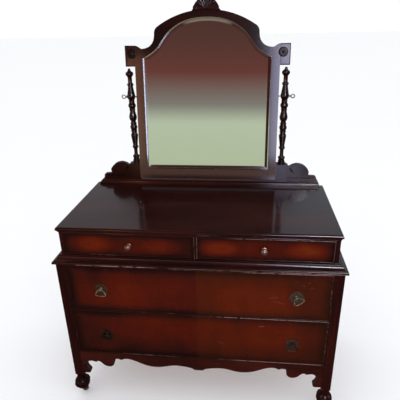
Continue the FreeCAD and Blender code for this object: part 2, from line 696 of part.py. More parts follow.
# --------------------------------------------------------- mirror base plate
PT = size("plate_t")
plate_profile = [(0, TOP), ("line", (0, TOP + 8)), ("arc", (0.8, TOP + 9.8), (2.6, TOP + 10.5)),
                 ("line", (4.4, TOP + 10.5)), ("arc", (6.6, TOP + 16.4), (12, TOP + 19.6)),
                 ("line", (13.5, TOP + 19.6)), ("line", (13.5, TOP + PT))]
keep(moulded("base_plate", size("plate_half"), size("plate_y"), size("plate_back"), plate_profile
             + [("line", (16, TOP + PT))]), "mirror_base_plate")

PX, PY = size("post_x"), size("post_y")
BASE = TOP + PT
scroll = outline((PX + 24, BASE), [
    ("line", (PX + 24, 979)), ("line", (386, 979)),
    ("spline", (388.5, 971), (395, 967.5)),
    ("spline", (410, 976.5), (433, 981.5), (459, 975), (480, 957), (488.5, 940), (485, 929.5)),
    ("spline", (488.5, 923.6), (498, 922.2), (510, 921.4), (520, 920)),
    ("spline", (525, 913), (525.5, 908)), ("line", (525.5, BASE)), ("line", (PX + 24, BASE))])
scroll_board = pad("scroll_board", "XZ_Plane", scroll, "post_y - 11", "22")
eye = pad("scroll_eye", "XZ_Plane",
          outline((396.5, 960), [("arc", (402.5, 944.5), (419, 937.5)), ("arc", (407.5, 951), (404, 963)),
                                 ("line", (396.5, 960))]),
          "post_y - 12", "5")
groove = box("scroll_groove", ("388", "508"), ("post_y - 12", "post_y - 9.8"), ("909.5", "913"))
carved = cut("scroll_right", scroll_board, group("scroll_cuts", [eye, groove]))
keep(group("scrolls", [mirror_x("scroll_left", carved), carved]), "scroll_brackets")

# -------------------------------------------------------------- turned posts
turning = [(TOP + 99.5, 16.4, ""), (TOP + 116, 16.4, ""), (TOP + 118.4, 13.7, ""), (TOP + 123, 13.7, ""),
           (TOP + 126, 14.6, ""), (TOP + 131, 16.8, "bead"), (TOP + 137, 10.5, ""), (TOP + 143, 8.8, ""),
           (TOP + 168, 8.8, ""), (TOP + 174.5, 12.4, ""), (TOP + 179, 15, "bead"), (TOP + 184, 11.8, ""),
           (TOP + 188.5, 11.2, ""), (TOP + 212, 14.2, ""), (TOP + 233, 16.9, ""), (TOP + 240, 16.2, "bead"),
           (TOP + 246.5, 12.4, ""), (TOP + 250, 12, ""), (TOP + 252.4, 14, ""), (TOP + 255.9, 15.2, "bead"),
           (TOP + 259.8, 13.4, ""), (TOP + 264, 13.4, ""), (TOP + 275.2, 17.2, "bead"), (TOP + 286, 13.4, ""),
           (TOP + 290.4, 13.4, ""), (TOP + 294.3, 15.1, "bead"), (TOP + 298.4, 11.6, ""),
           (TOP + 303, 11.4, ""), (TOP + 309, 14.8, ""), (TOP + 319, 18, "bead"), (TOP + 334, 16.4, ""),
           (TOP + 350, 12.6, ""), (TOP + 354, 12.2, ""), (TOP + 358.1, 14.5, "bead"), (TOP + 362, 13, ""),
           (TOP + 366, 13.2, ""), (TOP + 378, 17.6, "bead"), (TOP + 388.5, 13, ""), (TOP + 392, 12.7, ""),
           (TOP + 398.5, 13.8, "bead"), (TOP + 402.4, 12.2, ""), (TOP + 407, 15.6, ""),
           (TOP + 417, 18.6, "bead"), (TOP + 430, 17.2, ""), (TOP + 446, 14.4, ""),
           (TOP + 462, 11.8, ""), (TOP + 467.4, 11.8, ""),
           (TOP + 473.6, 15, "bead"), (TOP + 479, 10.2, ""), (TOP + 484, 9.8, ""), (TOP + 505, 9.8, ""),
           (TOP + 511, 12.8, ""), (TOP + 521, 17.9, "bead"), (TOP + 531, 9.6, ""), (TOP + 536, 6.6, ""),
           (TOP + 541.5, 5.4, "bead"), (TOP + 544.6, 0.8, "")]
posts = []
for name, sign in (("left", -1), ("right", 1)):
    shaft = lathe("post_shaft_" + name, turning)
    shaft.Placement.Base = V(sign * PX, PY, 0)
    spots = ("%s - block_w / 2" % (sign * PX), "%s + block_w / 2" % (sign * PX))
    block = box("post_block_" + name, spots, ("post_y - block_w / 2", "post_y + block_w / 2"),
                ("top_z + plate_t", "top_z + 100"))
    hole = rod("post_hole_" + name, "3 + play", "80", (str(sign * PX - 40), "post_y", "pivot_z"), (1, 0, 0))
    posts.append(cut("post_" + name, fuse("post_raw_" + name, [block, shaft]), hole))
keep(group("post_pair", posts), "turned_posts")

uprights = []
for name, sign in (("left", -1), ("right", 1)):
    uprights.append(box("upright_" + name, ("%s - 25" % (sign * PX), "%s + 25" % (sign * PX)),
                        ("top_d", "top_d + 22"), ("rail_z + 140", "top_z")))
keep(group("upright_pair", uprights), "mirror_uprights")

# ------------------------------------------------------------ swinging mirror
# Built round the pivot, face towards -Y, then leaned back.
FT = size("frame_t")
SH = size("sight_half")
FH = size("frame_half")
PZ = 417.6
LIP = 6.5


def swung(obj, label):
    keep(obj, label, False)
    obj.Placement = FreeCAD.Placement(V(0, PY, 0), FreeCAD.Rotation(V(1, 0, 0), -size("lean")))
    bind(obj, Placement__Base__y="front_y + post_y", Placement__Base__z="pivot_z")
    return obj


def layered(label, front_shape, rear_shape):
    """A frame member with a rabbet: full section in front, cut back behind."""
    face = pad(label + "_face", "XZ_Plane", front_shape, "-frame_t / 2", "13")
    rear_layer = pad(label + "_back", "XZ_Plane", rear_shape, "13 - frame_t / 2", "frame_t - 13")
    return fuse(label + "_whole", [face, rear_layer])


foot_z = size("frame_foot")
sight_z = size("sight_foot")
crown = 641.0 - PZ
joint_z = 627.0 - PZ
shoulder = [("line", (FH, crown)), ("spline", (321, 640.2 - PZ), (306, 631.6 - PZ), (SH, joint_z))]
close = [("line", (SH, foot_z)), ("line", (FH, foot_z))]


def stile(label):
    rabbet = [("line", (SH, 595.0 - PZ)), ("line", (SH + LIP, 595.0 - PZ)),
              ("line", (SH + LIP, sight_z - LIP)), ("line", (SH, sight_z - LIP))]
    whole = layered(label, outline((FH, foot_z), shoulder + close),
                    outline((FH, foot_z), shoulder + rabbet + close))
    bore = rod(label + "_bore", "3 + play", "24", ("frame_half - 22", "0", "0"), (1, 0, 0))
    return cut(label + "_bored", whole, bore)


right_stile = stile("stile_right")
swung(right_stile, "mirror_stile_right")
left_source = stile("stile_left_source")
swung(mirror_x("stile_left", left_source), "mirror_stile_left")

bottom = layered("bottom_rail", polygon([(-SH, foot_z), (SH, foot_z), (SH, sight_z), (-SH, sight_z)]),
                 polygon([(-SH, foot_z), (SH, foot_z), (SH, sight_z - LIP), (-SH, sight_z - LIP)]))
swung(bottom, "mirror_bottom_rail")

sight_half_points = [(275, 593), (252, 606.5), (232, 621), (214, 641.5), (197, 665), (172, 694.5),
                     (150, 711.5), (126, 726.5), (98, 738.8), (62, 748.4), (0, 753.5)]
sight_arch = sight_half_points + [(-x, z) for x, z in sight_half_points[-2::-1]]


def shifted(points, inset):
    """Points moved along the normal of the arch, towards the rail."""
    moved = []
    chain = [(SH, 587.0)] + points + [(-SH, 587.0)]
    for index in range(1, len(chain) - 1):
        dx = chain[index + 1][0] - chain[index - 1][0]
        dz = chain[index + 1][1] - chain[index - 1][1]
        reach = math.hypot(dx, dz)
        moved.append((chain[index][0] + inset * dz / reach, chain[index][1] - inset * dx / reach))
    return moved


def lowered(points):
    return [(x, z - PZ) for x, z in points]


ARCH_X = 222.0
ARCH_FOOT = 716.2 - PZ
ARCH_TOP = 784.5 - PZ
ARCH_R = (ARCH_X ** 2 + (ARCH_TOP - ARCH_FOOT) ** 2) / (2 * (ARCH_TOP - ARCH_FOOT))
hollow = lowered([(282, 628), (266, 632.5), (250, 643.5), (239, 660), (235, 676), (234, 690)])
outer = [("spline",) + tuple(hollow),
         ("arc", (231.8, 702.5 - PZ), (ARCH_X, ARCH_FOOT)),
         ("arc", (0, ARCH_TOP), (-ARCH_X, ARCH_FOOT)),
         ("arc", (-231.8, 702.5 - PZ), (-234, 690 - PZ)),
         ("spline",) + tuple((-x, z) for x, z in hollow[-2::-1]) + ((-SH, joint_z),)]


def arch_z(x):
    """Height of the top edge of the crest rail at x."""
    return ARCH_TOP - ARCH_R + math.sqrt(ARCH_R ** 2 - x ** 2)


def crest_shape(inset):
    inner_points = shifted(sight_arch, inset) if inset else sight_arch
    end = 587.0 + (8.0 if inset else 0.0)
    steps = list(outer) + [("line", (-SH, end - PZ))]
    steps.append(("spline",) + tuple(lowered(inner_points[::-1])) + ((SH, end - PZ),))
    steps.append(("line", (SH, joint_z)))
    return outline((SH, joint_z), steps)


crest = layered("crest_rail", crest_shape(0), crest_shape(LIP))
swung(crest, "mirror_crest_rail")

ear = pad("ear_right", "XZ_Plane",
          polygon([(FH, 551.5 - PZ), (size("ear_half"), 551.5 - PZ), (size("ear_half"), 641.8 - PZ),
                   (FH, 641.0 - PZ)]), "-frame_t / 2", "frame_t")
ears = [mirror_x("ear_left", ear), ear]
swung(group("ear_pair", ears), "mirror_ears")

rosettes = []
for name, sign in (("left", -1), ("right", 1)):
    boss = lathe("rosette_" + name, [(0, 22, ""), (2.4, 22, ""), (4.6, 20.6, "bead"), (4.2, 17.2, ""),
                                     (2.6, 14.6, "bead"), (3, 12, ""), (3, 8.6, ""), (6.4, 6, "bead"),
                                     (7, 0.8, "")])
    boss.Placement = FreeCAD.Placement(V(sign * 339.5, -FT / 2, 605.5 - PZ), FreeCAD.Rotation(V(1, 0, 0), 90))
    rosettes.append(boss)
swung(group("rosette_pair", rosettes), "mirror_rosettes")

# Carved shell on the crest.
flank = lowered([(57, 789), (54.5, 797), (48, 809), (39, 819)])
crown_half = lowered([(37, 829), (24, 840), (0, 844.5)])
crown_line = crown_half + [(-x, z) for x, z in crown_half[-2::-1]] + [(-39, 819 - PZ)]
far_flank = [(-x, z) for x, z in flank[-2::-1]] + [(-62, 782 - PZ)]
shell_outline = outline((62, 782 - PZ), [
    ("spline",) + tuple(flank), ("spline",) + tuple(crown_line), ("spline",) + tuple(far_flank),
    ("line", (-62, arch_z(62))), ("arc", (0, ARCH_TOP), (62, arch_z(62))), ("line", (62, 782 - PZ))])
shell_base = pad("shell_base", "XZ_Plane", shell_outline, "-frame_t / 2", "frame_t")
carving = [shell_base]
for index in range(7):
    lean = -48 + 16 * index
    reach_up = 46 if abs(lean) > 40 else 54
    root = V(6.5 * math.sin(math.radians(lean)), -FT / 2, 784.0 - PZ + 3)
    placed = FreeCAD.Placement(root, FreeCAD.Rotation(V(0, 1, 0), lean))
    rib = cone("shell_rib_%d" % index, "2.2", "6.4", str(reach_up - 8), placed)
    tip_at = placed.multVec(V(0, 0, reach_up - 8))
    tip = ball("shell_tip_%d" % index, "6.4", (str(tip_at.x), str(tip_at.y), str(tip_at.z)))
    carving += [rib, tip]
for sign in (-1, 1):
    eye_at = (str(sign * 49), "-frame_t / 2 - 5", str(792 - PZ))
    whorl = rod("shell_whorl_%d" % (sign + 2), "8", "6", eye_at, (0, 1, 0))
    pip = ball("shell_pip_%d" % (sign + 2), "3.6", eye_at)
    carving += [whorl, pip]
boss_low = ball("shell_boss", "9", ("0", "-frame_t / 2", str(795.5 - PZ)))
swung(fuse("shell_whole", carving + [boss_low]), "crest_cartouche")

# Bevelled plate in the rabbet, with its wooden back board.
PLAY = 0.8


def pane_outline(inset):
    """The rabbet outline drawn in by inset: its corners, with the points of the arch between."""
    side = SH + LIP - PLAY - inset
    low = sight_z - LIP + PLAY + inset
    start_z = 592.5 - PZ - 0.6 * inset
    chain = lowered(shifted(sight_arch, LIP - PLAY - inset))
    arch = [p for p in chain if abs(p[0]) < side - 4]
    return [(side, low), (side, start_z)] + arch + [(-side, start_z), (-side, low)]


def pane_wire(inset, depth):
    """A closed loop of two sides, a foot and one smooth arch."""
    points = [V(x, depth, z) for x, z in pane_outline(inset)]
    arch = Part.BSplineCurve()
    arch.interpolate(points[1:-1])
    return Part.Wire([Part.makeLine(points[-1], points[0]), Part.makeLine(points[0], points[1]),
                      arch.toShape(), Part.makeLine(points[-2], points[-1])])


SHELF_Y = 13 - FT / 2
bevel = Part.makeLoft([pane_wire(8.4, SHELF_Y), pane_wire(20.4, SHELF_Y - 1.0)], True, True)
slab = Part.Face(pane_wire(0, SHELF_Y)).extrude(V(0, 2, 0))
glass = doc.addObject("Part::Feature", "glass_plate")
glass.Shape = bevel.fuse(slab).removeSplitter()
swung(glass, "mirror_glass")

back_loop = pane_outline(0.4)
back_steps = [("line", back_loop[1]), ("spline",) + tuple(back_loop[2:-1]), ("line", back_loop[-1]),
              ("line", back_loop[0])]
backing = pad("backing", "XZ_Plane", outline(back_loop[0], back_steps), str(SHELF_Y + 2), "4.5")
swung(backing, "mirror_back_board")

# ------------------------------------------------------------- thumb screws
for name, sign in (("left", -1), ("right", 1)):
    ring_x = 391.0
    ring = doc.addObject("Part::Torus", "ring_" + name)
    ring.Radius1 = 8.2
    ring.Radius2 = 2.4
    turn = FreeCAD.Rotation(V(1, 0, 0), 90)
    ring.Placement = FreeCAD.Placement(V(sign * ring_x, 0, 0), turn)
    ends = sorted((sign * 308.0, sign * (ring_x - 8.6)))
    shank = rod("shank_" + name, "3", str(ends[1] - ends[0]), (str(ends[0]), "0", "0"), (1, 0, 0))
    near, far = sorted((sign * 374.6, sign * 378.2))
    collar = rod("collar_" + name, "6", str(far - near), (str(near), "0", "0"), (1, 0, 0))
    screw = fuse("screw_" + name, [ring, shank, collar])
    keep(screw, "thumb_screw_" + name, False)
    spin = -32 if sign > 0 else 0
    screw.Placement = FreeCAD.Placement(V(0, 0, 0), FreeCAD.Rotation(V(1, 0, 0), spin))
    bind(screw, Placement__Base__y="front_y + post_y", Placement__Base__z="pivot_z")

# -------------------------------------------------------------------- export
doc.recompute()
problems = []
for obj in doc.Objects:
    if "Invalid" in obj.State or "Error" in obj.State:
        problems.append("%s: %s" % (obj.Label, obj.State))
for obj, label in PARTS:
    shape = obj.Shape
    if shape.isNull() or not shape.isValid() or not shape.Solids:
        problems.append("%s: bad shape" % label)
if problems:
    raise RuntimeError("; ".join(problems))
os.makedirs("parts", exist_ok=True)
for obj, label in PARTS:
    obj.Shape.exportStep("parts/%s.step" % label)
low = min(obj.Shape.BoundBox.YMin for obj, label in PARTS)
high = max(obj.Shape.BoundBox.YMax for obj, label in PARTS)
floor = min(obj.Shape.BoundBox.ZMin for obj, label in PARTS)
print("nodes", len(PARTS), "y", round(low, 3), round(high, 3), "z", round(floor, 4))
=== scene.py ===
"""A low dresser with two tiers of drawers and a tilting mirror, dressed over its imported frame."""

import functools
import json
import math

import bmesh
import bpy
from bpy.props import FloatProperty, FloatVectorProperty, PointerProperty
from mathutils import Matrix, Vector

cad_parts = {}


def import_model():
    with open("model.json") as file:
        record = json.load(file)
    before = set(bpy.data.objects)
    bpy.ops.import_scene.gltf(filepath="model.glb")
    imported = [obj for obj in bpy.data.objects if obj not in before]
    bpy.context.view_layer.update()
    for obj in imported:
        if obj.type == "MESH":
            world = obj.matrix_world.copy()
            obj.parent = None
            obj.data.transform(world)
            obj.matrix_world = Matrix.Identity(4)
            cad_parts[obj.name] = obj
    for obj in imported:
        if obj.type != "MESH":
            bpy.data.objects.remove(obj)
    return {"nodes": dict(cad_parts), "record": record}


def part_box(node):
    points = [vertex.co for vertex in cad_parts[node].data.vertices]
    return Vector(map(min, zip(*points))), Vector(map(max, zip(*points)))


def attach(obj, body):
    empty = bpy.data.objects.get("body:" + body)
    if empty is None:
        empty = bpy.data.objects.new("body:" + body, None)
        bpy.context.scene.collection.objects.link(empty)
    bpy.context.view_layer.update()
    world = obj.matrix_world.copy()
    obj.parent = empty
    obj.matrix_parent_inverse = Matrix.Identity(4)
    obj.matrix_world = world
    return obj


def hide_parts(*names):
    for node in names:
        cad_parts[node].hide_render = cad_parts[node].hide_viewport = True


bl_info = {
    "name": "Dresser with tilting mirror",
    "version": (1, 0, 0),
    "blender": (4, 5, 0),
    "location": "3D View > Sidebar > Dresser",
    "description": "Builds and finishes a mahogany dresser with a tilting mirror",
    "category": "Add Mesh",
}

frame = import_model()
NODES = frame["nodes"]
BODY_OF = {node: body for body, nodes in frame["record"]["behaviour"]["bodies"].items() for node in nodes}
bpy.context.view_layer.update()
X, Y, Z = range(3)
SIDES = ("left", "right")

# Places and sizes, in metres. Heights are above the floor.
CASE_DEPTH = 0.539
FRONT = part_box("rear_legs")[1].y - CASE_DEPTH
GLASS_MIDDLE = (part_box("mirror_glass")[0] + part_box("mirror_glass")[1]) / 2
# Distances from the mirror's middle: the ears' joints, the crest rail's joints, just past the sight edge.
EAR_JOINT, CREST_JOINT, SIGHT_HALF = 0.3278, 0.2898, 0.2915
ROSETTE_X = 0.3395
# The waist's nosing: its lower edge stands this far up the moulding, and a strip over this height is
# lightened, partly as rubbed wear and partly as a painted highlight.
NOSE_RISE, NOSE_STRIP = 0.008, 0.0040
WAIST_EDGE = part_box("waist_moulding")[0].z + NOSE_RISE
# The recesses carved in the scroll brackets lie between these depths behind their front.
RECESS_TOP, RECESS_GROUND = 0.0004, 0.006
# A cock bead's faces lie within this depth behind its front.
BEAD_STAND = 0.0021
LEG_WIDTH, LEG_DEPTH = 0.040, 0.042
BRACKET_FOOT, ANKLE, BALL_HEIGHT, FOOT_FLAT = 0.137, 0.118, 0.0605, 0.032
BALL_RADIUS, FOOT_SETBACK = 0.0346, 0.019
NECK_TOP = ANKLE + 0.006
# The neck of a foot, from its top down: (height, radius).
NECK = ((NECK_TOP, 0.0200), (ANKLE - 0.008, 0.0184), (BALL_HEIGHT + 0.012, 0.0250))
# A claw from its root at the ankle to its tip: (rise in degrees, distance from the ball's middle, thickness).
CLAW = ((80, 0.0318, 0.0050), (62, 0.0318, 0.0052), (46, 0.0320, 0.0058), (34, 0.0328, 0.0062),
        (18, 0.0314, 0.0054), (4, 0.0328, 0.0062), (-10, 0.0314, 0.0052), (-24, 0.0322, 0.0056),
        (-38, 0.0316, 0.0046), (-54, 0.0316, 0.0028))
# A rosette from its back to its middle: (distance in front of the ear, radius).
ROSETTE = ((-0.0008, 0.0), (-0.0008, 0.0208), (0.0010, 0.0208), (0.0024, 0.0199), (0.0031, 0.0180),
           (0.0034, 0.0150), (0.0033, 0.0110), (0.0031, 0.0070), (0.0034, 0.0055), (0.0042, 0.0040),
           (0.0046, 0.0020), (0.0047, 0.0))
# The sharpest bend in degrees that still counts as flat, and the least that is rounded as an arris.
FLAT_BEND, ARRIS_BEND = 0.4, 38.0


# ---- Shaders ----


class Strand:
    """A shader socket that takes part in sums."""

    def __init__(self, weave, socket):
        self.weave = weave
        self.socket = socket

    def _with(self, operation, *terms):
        return self.weave.node("ShaderNodeMath", {"operation": operation}, dict(enumerate(terms)))

    def __add__(self, other):
        return self._with("ADD", self, other)

    def __radd__(self, other):
        return self._with("ADD", other, self)

    def __sub__(self, other):
        return self._with("SUBTRACT", self, other)

    def __rsub__(self, other):
        return self._with("SUBTRACT", other, self)

    def __mul__(self, other):
        return self._with("MULTIPLY", self, other)

    def __rmul__(self, other):
        return self._with("MULTIPLY", other, self)

    def __truediv__(self, other):
        return self._with("DIVIDE", self, other)

    def __pow__(self, other):
        return self._with("POWER", self, other)

    def __abs__(self):
        return self._with("ABSOLUTE", self)

    def high(self, other):
        return self._with("MAXIMUM", self, other)


class Weave:
    """Adds nodes to one shader tree."""

    def __init__(self, tree):
        self.tree = tree
        self.tree.nodes.clear()

    def node(self, kind, settings=None, inputs=None, output=0):
        """Adds a node: its settings first, then values or links for its sockets."""
        made = self.tree.nodes.new(kind)
        for key, value in (settings or {}).items():
            if key == "stops":
                self.set_stops(made.color_ramp, value)
            else:
                setattr(made, key, value)
        for key, value in (inputs or {}).items():
            if isinstance(value, Strand):
                self.tree.links.new(value.socket, made.inputs[key])
            else:
                made.inputs[key].default_value = value
        return Strand(self, made.outputs[output]) if made.outputs else None

    @staticmethod
    def set_stops(ramp, stops):
        while len(ramp.elements) < len(stops):
            ramp.elements.new(1.0)
        for element, (place, colour) in zip(ramp.elements, stops):
            element.position = place
            element.color = (*colour, 1.0)

    def axes(self, vector):
        """The three parts of a vector."""
        first = self.node("ShaderNodeSeparateXYZ", inputs={0: vector})
        return [Strand(self, socket) for socket in first.socket.node.outputs]

    def band(self, value, low, high):
        """0 on low's side and 1 on high's side, smooth between."""
        return self.node("ShaderNodeMapRange", {"interpolation_type": "SMOOTHSTEP"},
                         {"Value": value, "From Min": low, "From Max": high})

    def between(self, value, start, full, fading, end):
        """1 from full to fading, and 0 before start and after end."""
        return self.band(value, start, full) * self.band(value, end, fading)

    def ramp(self, value, stops):
        return self.node("ShaderNodeValToRGB", {"stops": stops}, {"Fac": value})

    def mix(self, factor, first, second, blend="MIX"):
        """A colour between first and second."""
        def colour(value):
            return value if isinstance(value, Strand) else (*value, 1.0)
        return self.node("ShaderNodeMix", {"data_type": "RGBA", "blend_type": blend},
                         {0: factor, 6: colour(first), 7: colour(second)}, 2)


class Finish(Weave):
    """One material, built up from shader nodes."""

    SOCKETS = {"colour": "Base Color", "roughness": "Roughness", "coat": "Coat Weight", "normal": "Normal"}

    def __init__(self, name):
        self.material = bpy.data.materials.new(name)
        self.material.use_nodes = True
        super().__init__(self.material.node_tree)

    def place(self, stretch=(1, 1, 1), shift=(0, 0, 0)):
        """The piece's own coordinates, stretched and shifted."""
        here = self.node("ShaderNodeTexCoord", output="Object")
        return self.node("ShaderNodeMapping",
                         inputs={"Vector": here, "Scale": stretch, "Location": shift})

    def cloud(self, scale, detail=4.0, roughness=0.6, distortion=0.0, shift=(0, 0, 0)):
        """Soft noise between 0 and 1, with one scale for all axes or one for each."""
        stretch = scale if isinstance(scale, tuple) else (scale, scale, scale)
        return self.node("ShaderNodeTexNoise", {"normalize": True},
                         {"Vector": self.place(stretch, shift), "Scale": 1.0, "Detail": detail,
                          "Roughness": roughness, "Distortion": distortion}, "Fac")

    def mark(self, name):
        """A value stored on the piece's own mesh."""
        return self.node("ShaderNodeAttribute", {"attribute_name": name}, output="Fac")

    def bump(self, height, strength, distance):
        return self.node("ShaderNodeBump",
                         inputs={"Height": height, "Strength": strength, "Distance": distance})

    def skin(self, settings, **changing):
        """Closes the material: constants by socket name, and what changes over the surface."""
        inputs = dict(settings)
        inputs.update({self.SOCKETS[key]: value for key, value in changing.items()})
        shader = self.node("ShaderNodeBsdfPrincipled", inputs=inputs)
        self.node("ShaderNodeOutputMaterial", inputs={"Surface": shader})
        return self.material


# ---- Finishes ----

FINISHES = {}

# A run is a stretch of edge lightened partly where the lacquer is rubbed away and partly as a painted
# highlight: (x, half length, z, half height, level).
DIVIDER_RUN = (0.0, 0.05, 0.80, 0.06, 1.0)
WAIST_RUNS = ((-0.30, 0.11, WAIST_EDGE, 0.003, 1.0), (-0.43, 0.07, WAIST_EDGE, 0.003, 0.5),
              (0.10, 0.25, WAIST_EDGE, 0.003, 0.35), (0.44, 0.17, WAIST_EDGE, 0.003, 0.9))

# How the mahogany finishes differ: grain axis, depth of stain, shift of figure, runs (rubbed, partly a
# painted highlight), gloss and blur of the lacquer, and whether marked faces get painted shade and less coat.
MAHOGANY = {
    "across": {"shaded": True},
    "upright": {"along": Z, "shift": (4, 2, 7), "shaded": True},
    "deep": {"along": Y, "shift": (1, 5, 3)},
    "top": {"depth": 0.9, "shift": (2, 2, 2)},
    # The divider's run is partly rubbed wear and partly a painted highlight.
    "rubbed": {"along": Z, "shift": (2, 4, 1), "runs": (DIVIDER_RUN,)},
    "waist": {"shift": (3, 1, 4), "runs": WAIST_RUNS, "blur": 0.17},
    "apron": {"depth": 1.15, "shift": (5, 2, 4)},
    "leg": {"along": Z, "depth": 0.95, "shift": (4, 2, 7), "gloss": 0.55},
    "carved": {"along": Z, "depth": 0.6, "shift": (6, 1, 2), "gloss": 0.3},
    # The base plate's lighter stain partly stands in for a sheen on its front face: painted light.
    "plate": {"depth": 1.1, "shift": (1, 6, 2)},
    "turned": {"along": Z, "depth": 0.5, "shift": (4, 2, 7), "gloss": 1.0, "blur": 0.08},
    "crest": {"depth": 0.5, "shift": (2, 5, 1), "gloss": 1.0, "shaded": True},
    "boss": {"depth": 0.6, "shift": (6, 3, 2), "gloss": 0.3, "blur": 0.3},
}


def finish_once(name, make, **details):
    """Makes a finish the first time it is asked for."""
    if name not in FINISHES:
        FINISHES[name] = make(name, **details)
    return FINISHES[name]


def stained(kind):
    """One of the mahogany finishes."""
    return finish_once("mahogany_" + kind, mahogany, **MAHOGANY[kind])


def scaled(colour, share):
    """A colour made darker or lighter."""
    return tuple(part * share for part in colour)


def highest(masks):
    """The highest of several masks at each point."""
    return functools.reduce(Strand.high, masks)


def grain_marks(finish, along, shift):
    """Broad figure, streaks and pores of wood whose grain runs along one axis."""
    def stretched(run, across):
        return tuple(run if axis == along else across for axis in (X, Y, Z))
    figure = finish.cloud(stretched(1.6, 7.0), 3.0, 0.55, 0.6, shift)
    streak = finish.cloud(stretched(5.0, 130.0), 5.0, 0.62, 0.2, shift)
    pores = finish.cloud(stretched(55.0, 900.0), 2.0, 0.5, shift=shift)
    return figure, streak, finish.band(pores, 0.60, 0.70)


def runs_mask(finish, runs):
    """Each run's level along it, and 0 elsewhere."""
    x, _, z = finish.axes(finish.place())
    return highest(level * finish.band(abs(x - middle), half, half * 0.7)
                   * finish.band(abs(z - height), half_height + 0.001, half_height)
                   for middle, half, height, half_height, level in runs)


def scratches_mask(finish, scratches):
    """1 along each scratch, and 0 elsewhere."""
    x, _, z = finish.axes(finish.place())

    def nick(at_x, at_z, turn, length, width):
        c, s = math.cos(math.radians(turn)), math.sin(math.radians(turn))
        run = abs((x - at_x) * c + (z - at_z) * s)
        off = abs((z - at_z) * c - (x - at_x) * s)
        return finish.band(run, length, length * 0.7) * finish.band(off, width, width * 0.4)

    return highest(nick(*scratch) for scratch in scratches)


def mahogany(name, along=X, depth=1.0, shift=(0, 0, 0), runs=(), gloss=0.9, blur=0.12, shaded=False):
    """Stained mahogany under gloss lacquer, rubbed through along its arrises; painted shade on marked faces.
    """
    tones = bpy.context.scene.dresser_finish
    finish = Finish(name)
    figure, streak, pores = grain_marks(finish, along, shift)
    dark, middle, bright = (scaled(tone, depth) for tone in (tones.stain_dark, tones.stain_middle,
                                                             tones.stain_bright))
    wood = finish.ramp(figure * 0.62 + streak * 0.38, [(0.34, dark), (0.5, middle), (0.68, bright)])
    wood = finish.mix(pores * 0.5, wood, scaled(dark, 0.3))
    rub = finish.cloud(38, shift=shift)
    broad = finish.cloud(4, 2.0, 0.5, shift=shift)
    reach = finish.band(broad, 0.50, 0.66) * finish.band(rub, 0.46, 0.62)
    # Runs lighten stretches of edge: partly rubbed wear, partly a painted highlight.
    if runs:
        reach = reach.high(runs_mask(finish, runs) * finish.band(rub, 0.34, 0.52))
    worn = finish.mark("arris") * reach
    wood = finish.mix(worn * 0.7, wood, tones.worn)
    coat = gloss
    # Marked faces get painted shade: a darker colour, and a thinner coat of lacquer.
    if shaded:
        shade = finish.mark("shade")
        wood = finish.mix(shade * 0.8, wood, scaled(dark, 0.3))
        coat = gloss * (1.0 - 0.75 * shade)
    rough = 0.20 + 0.12 * finish.cloud(9, shift=shift) + 0.2 * worn
    relief = finish.cloud(30, 2.0, 0.5) * 0.6 - pores * 0.2
    return finish.skin({"Coat Roughness": blur, "Specular IOR Level": 0.04}, colour=wood, roughness=rough,
                       coat=coat, normal=finish.bump(relief, 0.06, 0.0003))


def toned_veneer(name, lights, ground, rim, shift, seam=0.0, scratches=(), runs=()):
    """Drawer veneer: bright where the stain was wiped, dark towards the edges, partly toning, partly painted
    shade.
    """
    tones = bpy.context.scene.dresser_finish
    finish = Finish(name)
    figure, streak, pores = grain_marks(finish, X, shift)
    u, v, _ = finish.axes(finish.node("ShaderNodeUVMap", {"uv_map": "front"}))

    def spot(at_u, at_v, wide, high, level):
        away = (((u - at_u) / wide) ** 2.0 + ((v - at_v) / high) ** 2.0) ** 0.5
        return level * finish.band(away, 1.0, 0.25)

    glow = highest(spot(*light) for light in lights)
    # Darker towards the edges: partly the stain's toning, partly painted shade, set deeper on the long
    # drawers.
    edge = finish.band(abs(u), 0.90, 1.0).high(finish.band(abs(v), 0.62, 1.0))
    mottle = finish.cloud((7.0, 7.0, 3.2), 3.0, 0.6, 0.8, shift)
    value = (ground + glow + (mottle - 0.5) * 0.55 + (figure - 0.5) * 0.25 + (streak - 0.5) * 0.2
             - edge * rim)
    wood = finish.ramp(value, [(0.0, tones.tone_edge), (0.25, tones.tone_dark), (0.55, tones.tone_red),
                               (0.80, tones.tone_bright), (1.0, tones.tone_amber)])
    if seam:
        leaf = finish.band(u, -0.002, 0.002) * seam
        wood = finish.mix(leaf, wood, finish.mix(0.35, wood, tones.tone_amber))
    wood = finish.mix(pores * 0.4, wood, tones.tone_edge)
    rub = finish.cloud(60, shift=shift)
    broad = finish.cloud(5, 2.0, 0.5, shift=shift)
    bead = finish.mark("bead")
    worn = finish.mark("arris") * finish.band(broad, 0.52, 0.68) * finish.band(rub, 0.44, 0.60) * 0.5
    # Runs on the beads: partly rubbed wear, partly a painted highlight along the bead.
    if runs:
        worn = worn.high(bead * runs_mask(finish, runs) * finish.band(rub, 0.34, 0.5))
    if scratches:
        worn = worn.high(scratches_mask(finish, scratches) * finish.band(rub, 0.40, 0.56) * 0.5)
    wood = finish.mix(bead * 0.8, wood, tones.bead_ground)
    wood = finish.mix(worn * 0.7, wood, tones.worn)
    rough = 0.22 + 0.12 * finish.cloud(7, shift=shift) + 0.2 * worn
    relief = finish.cloud(26, 2.0, 0.5) * 0.6 - pores * 0.5
    return finish.skin({"Coat Weight": 0.24, "Coat Roughness": 0.06, "Specular IOR Level": 0.08},
                       colour=wood, roughness=rough, normal=finish.bump(relief, 0.12, 0.0004))


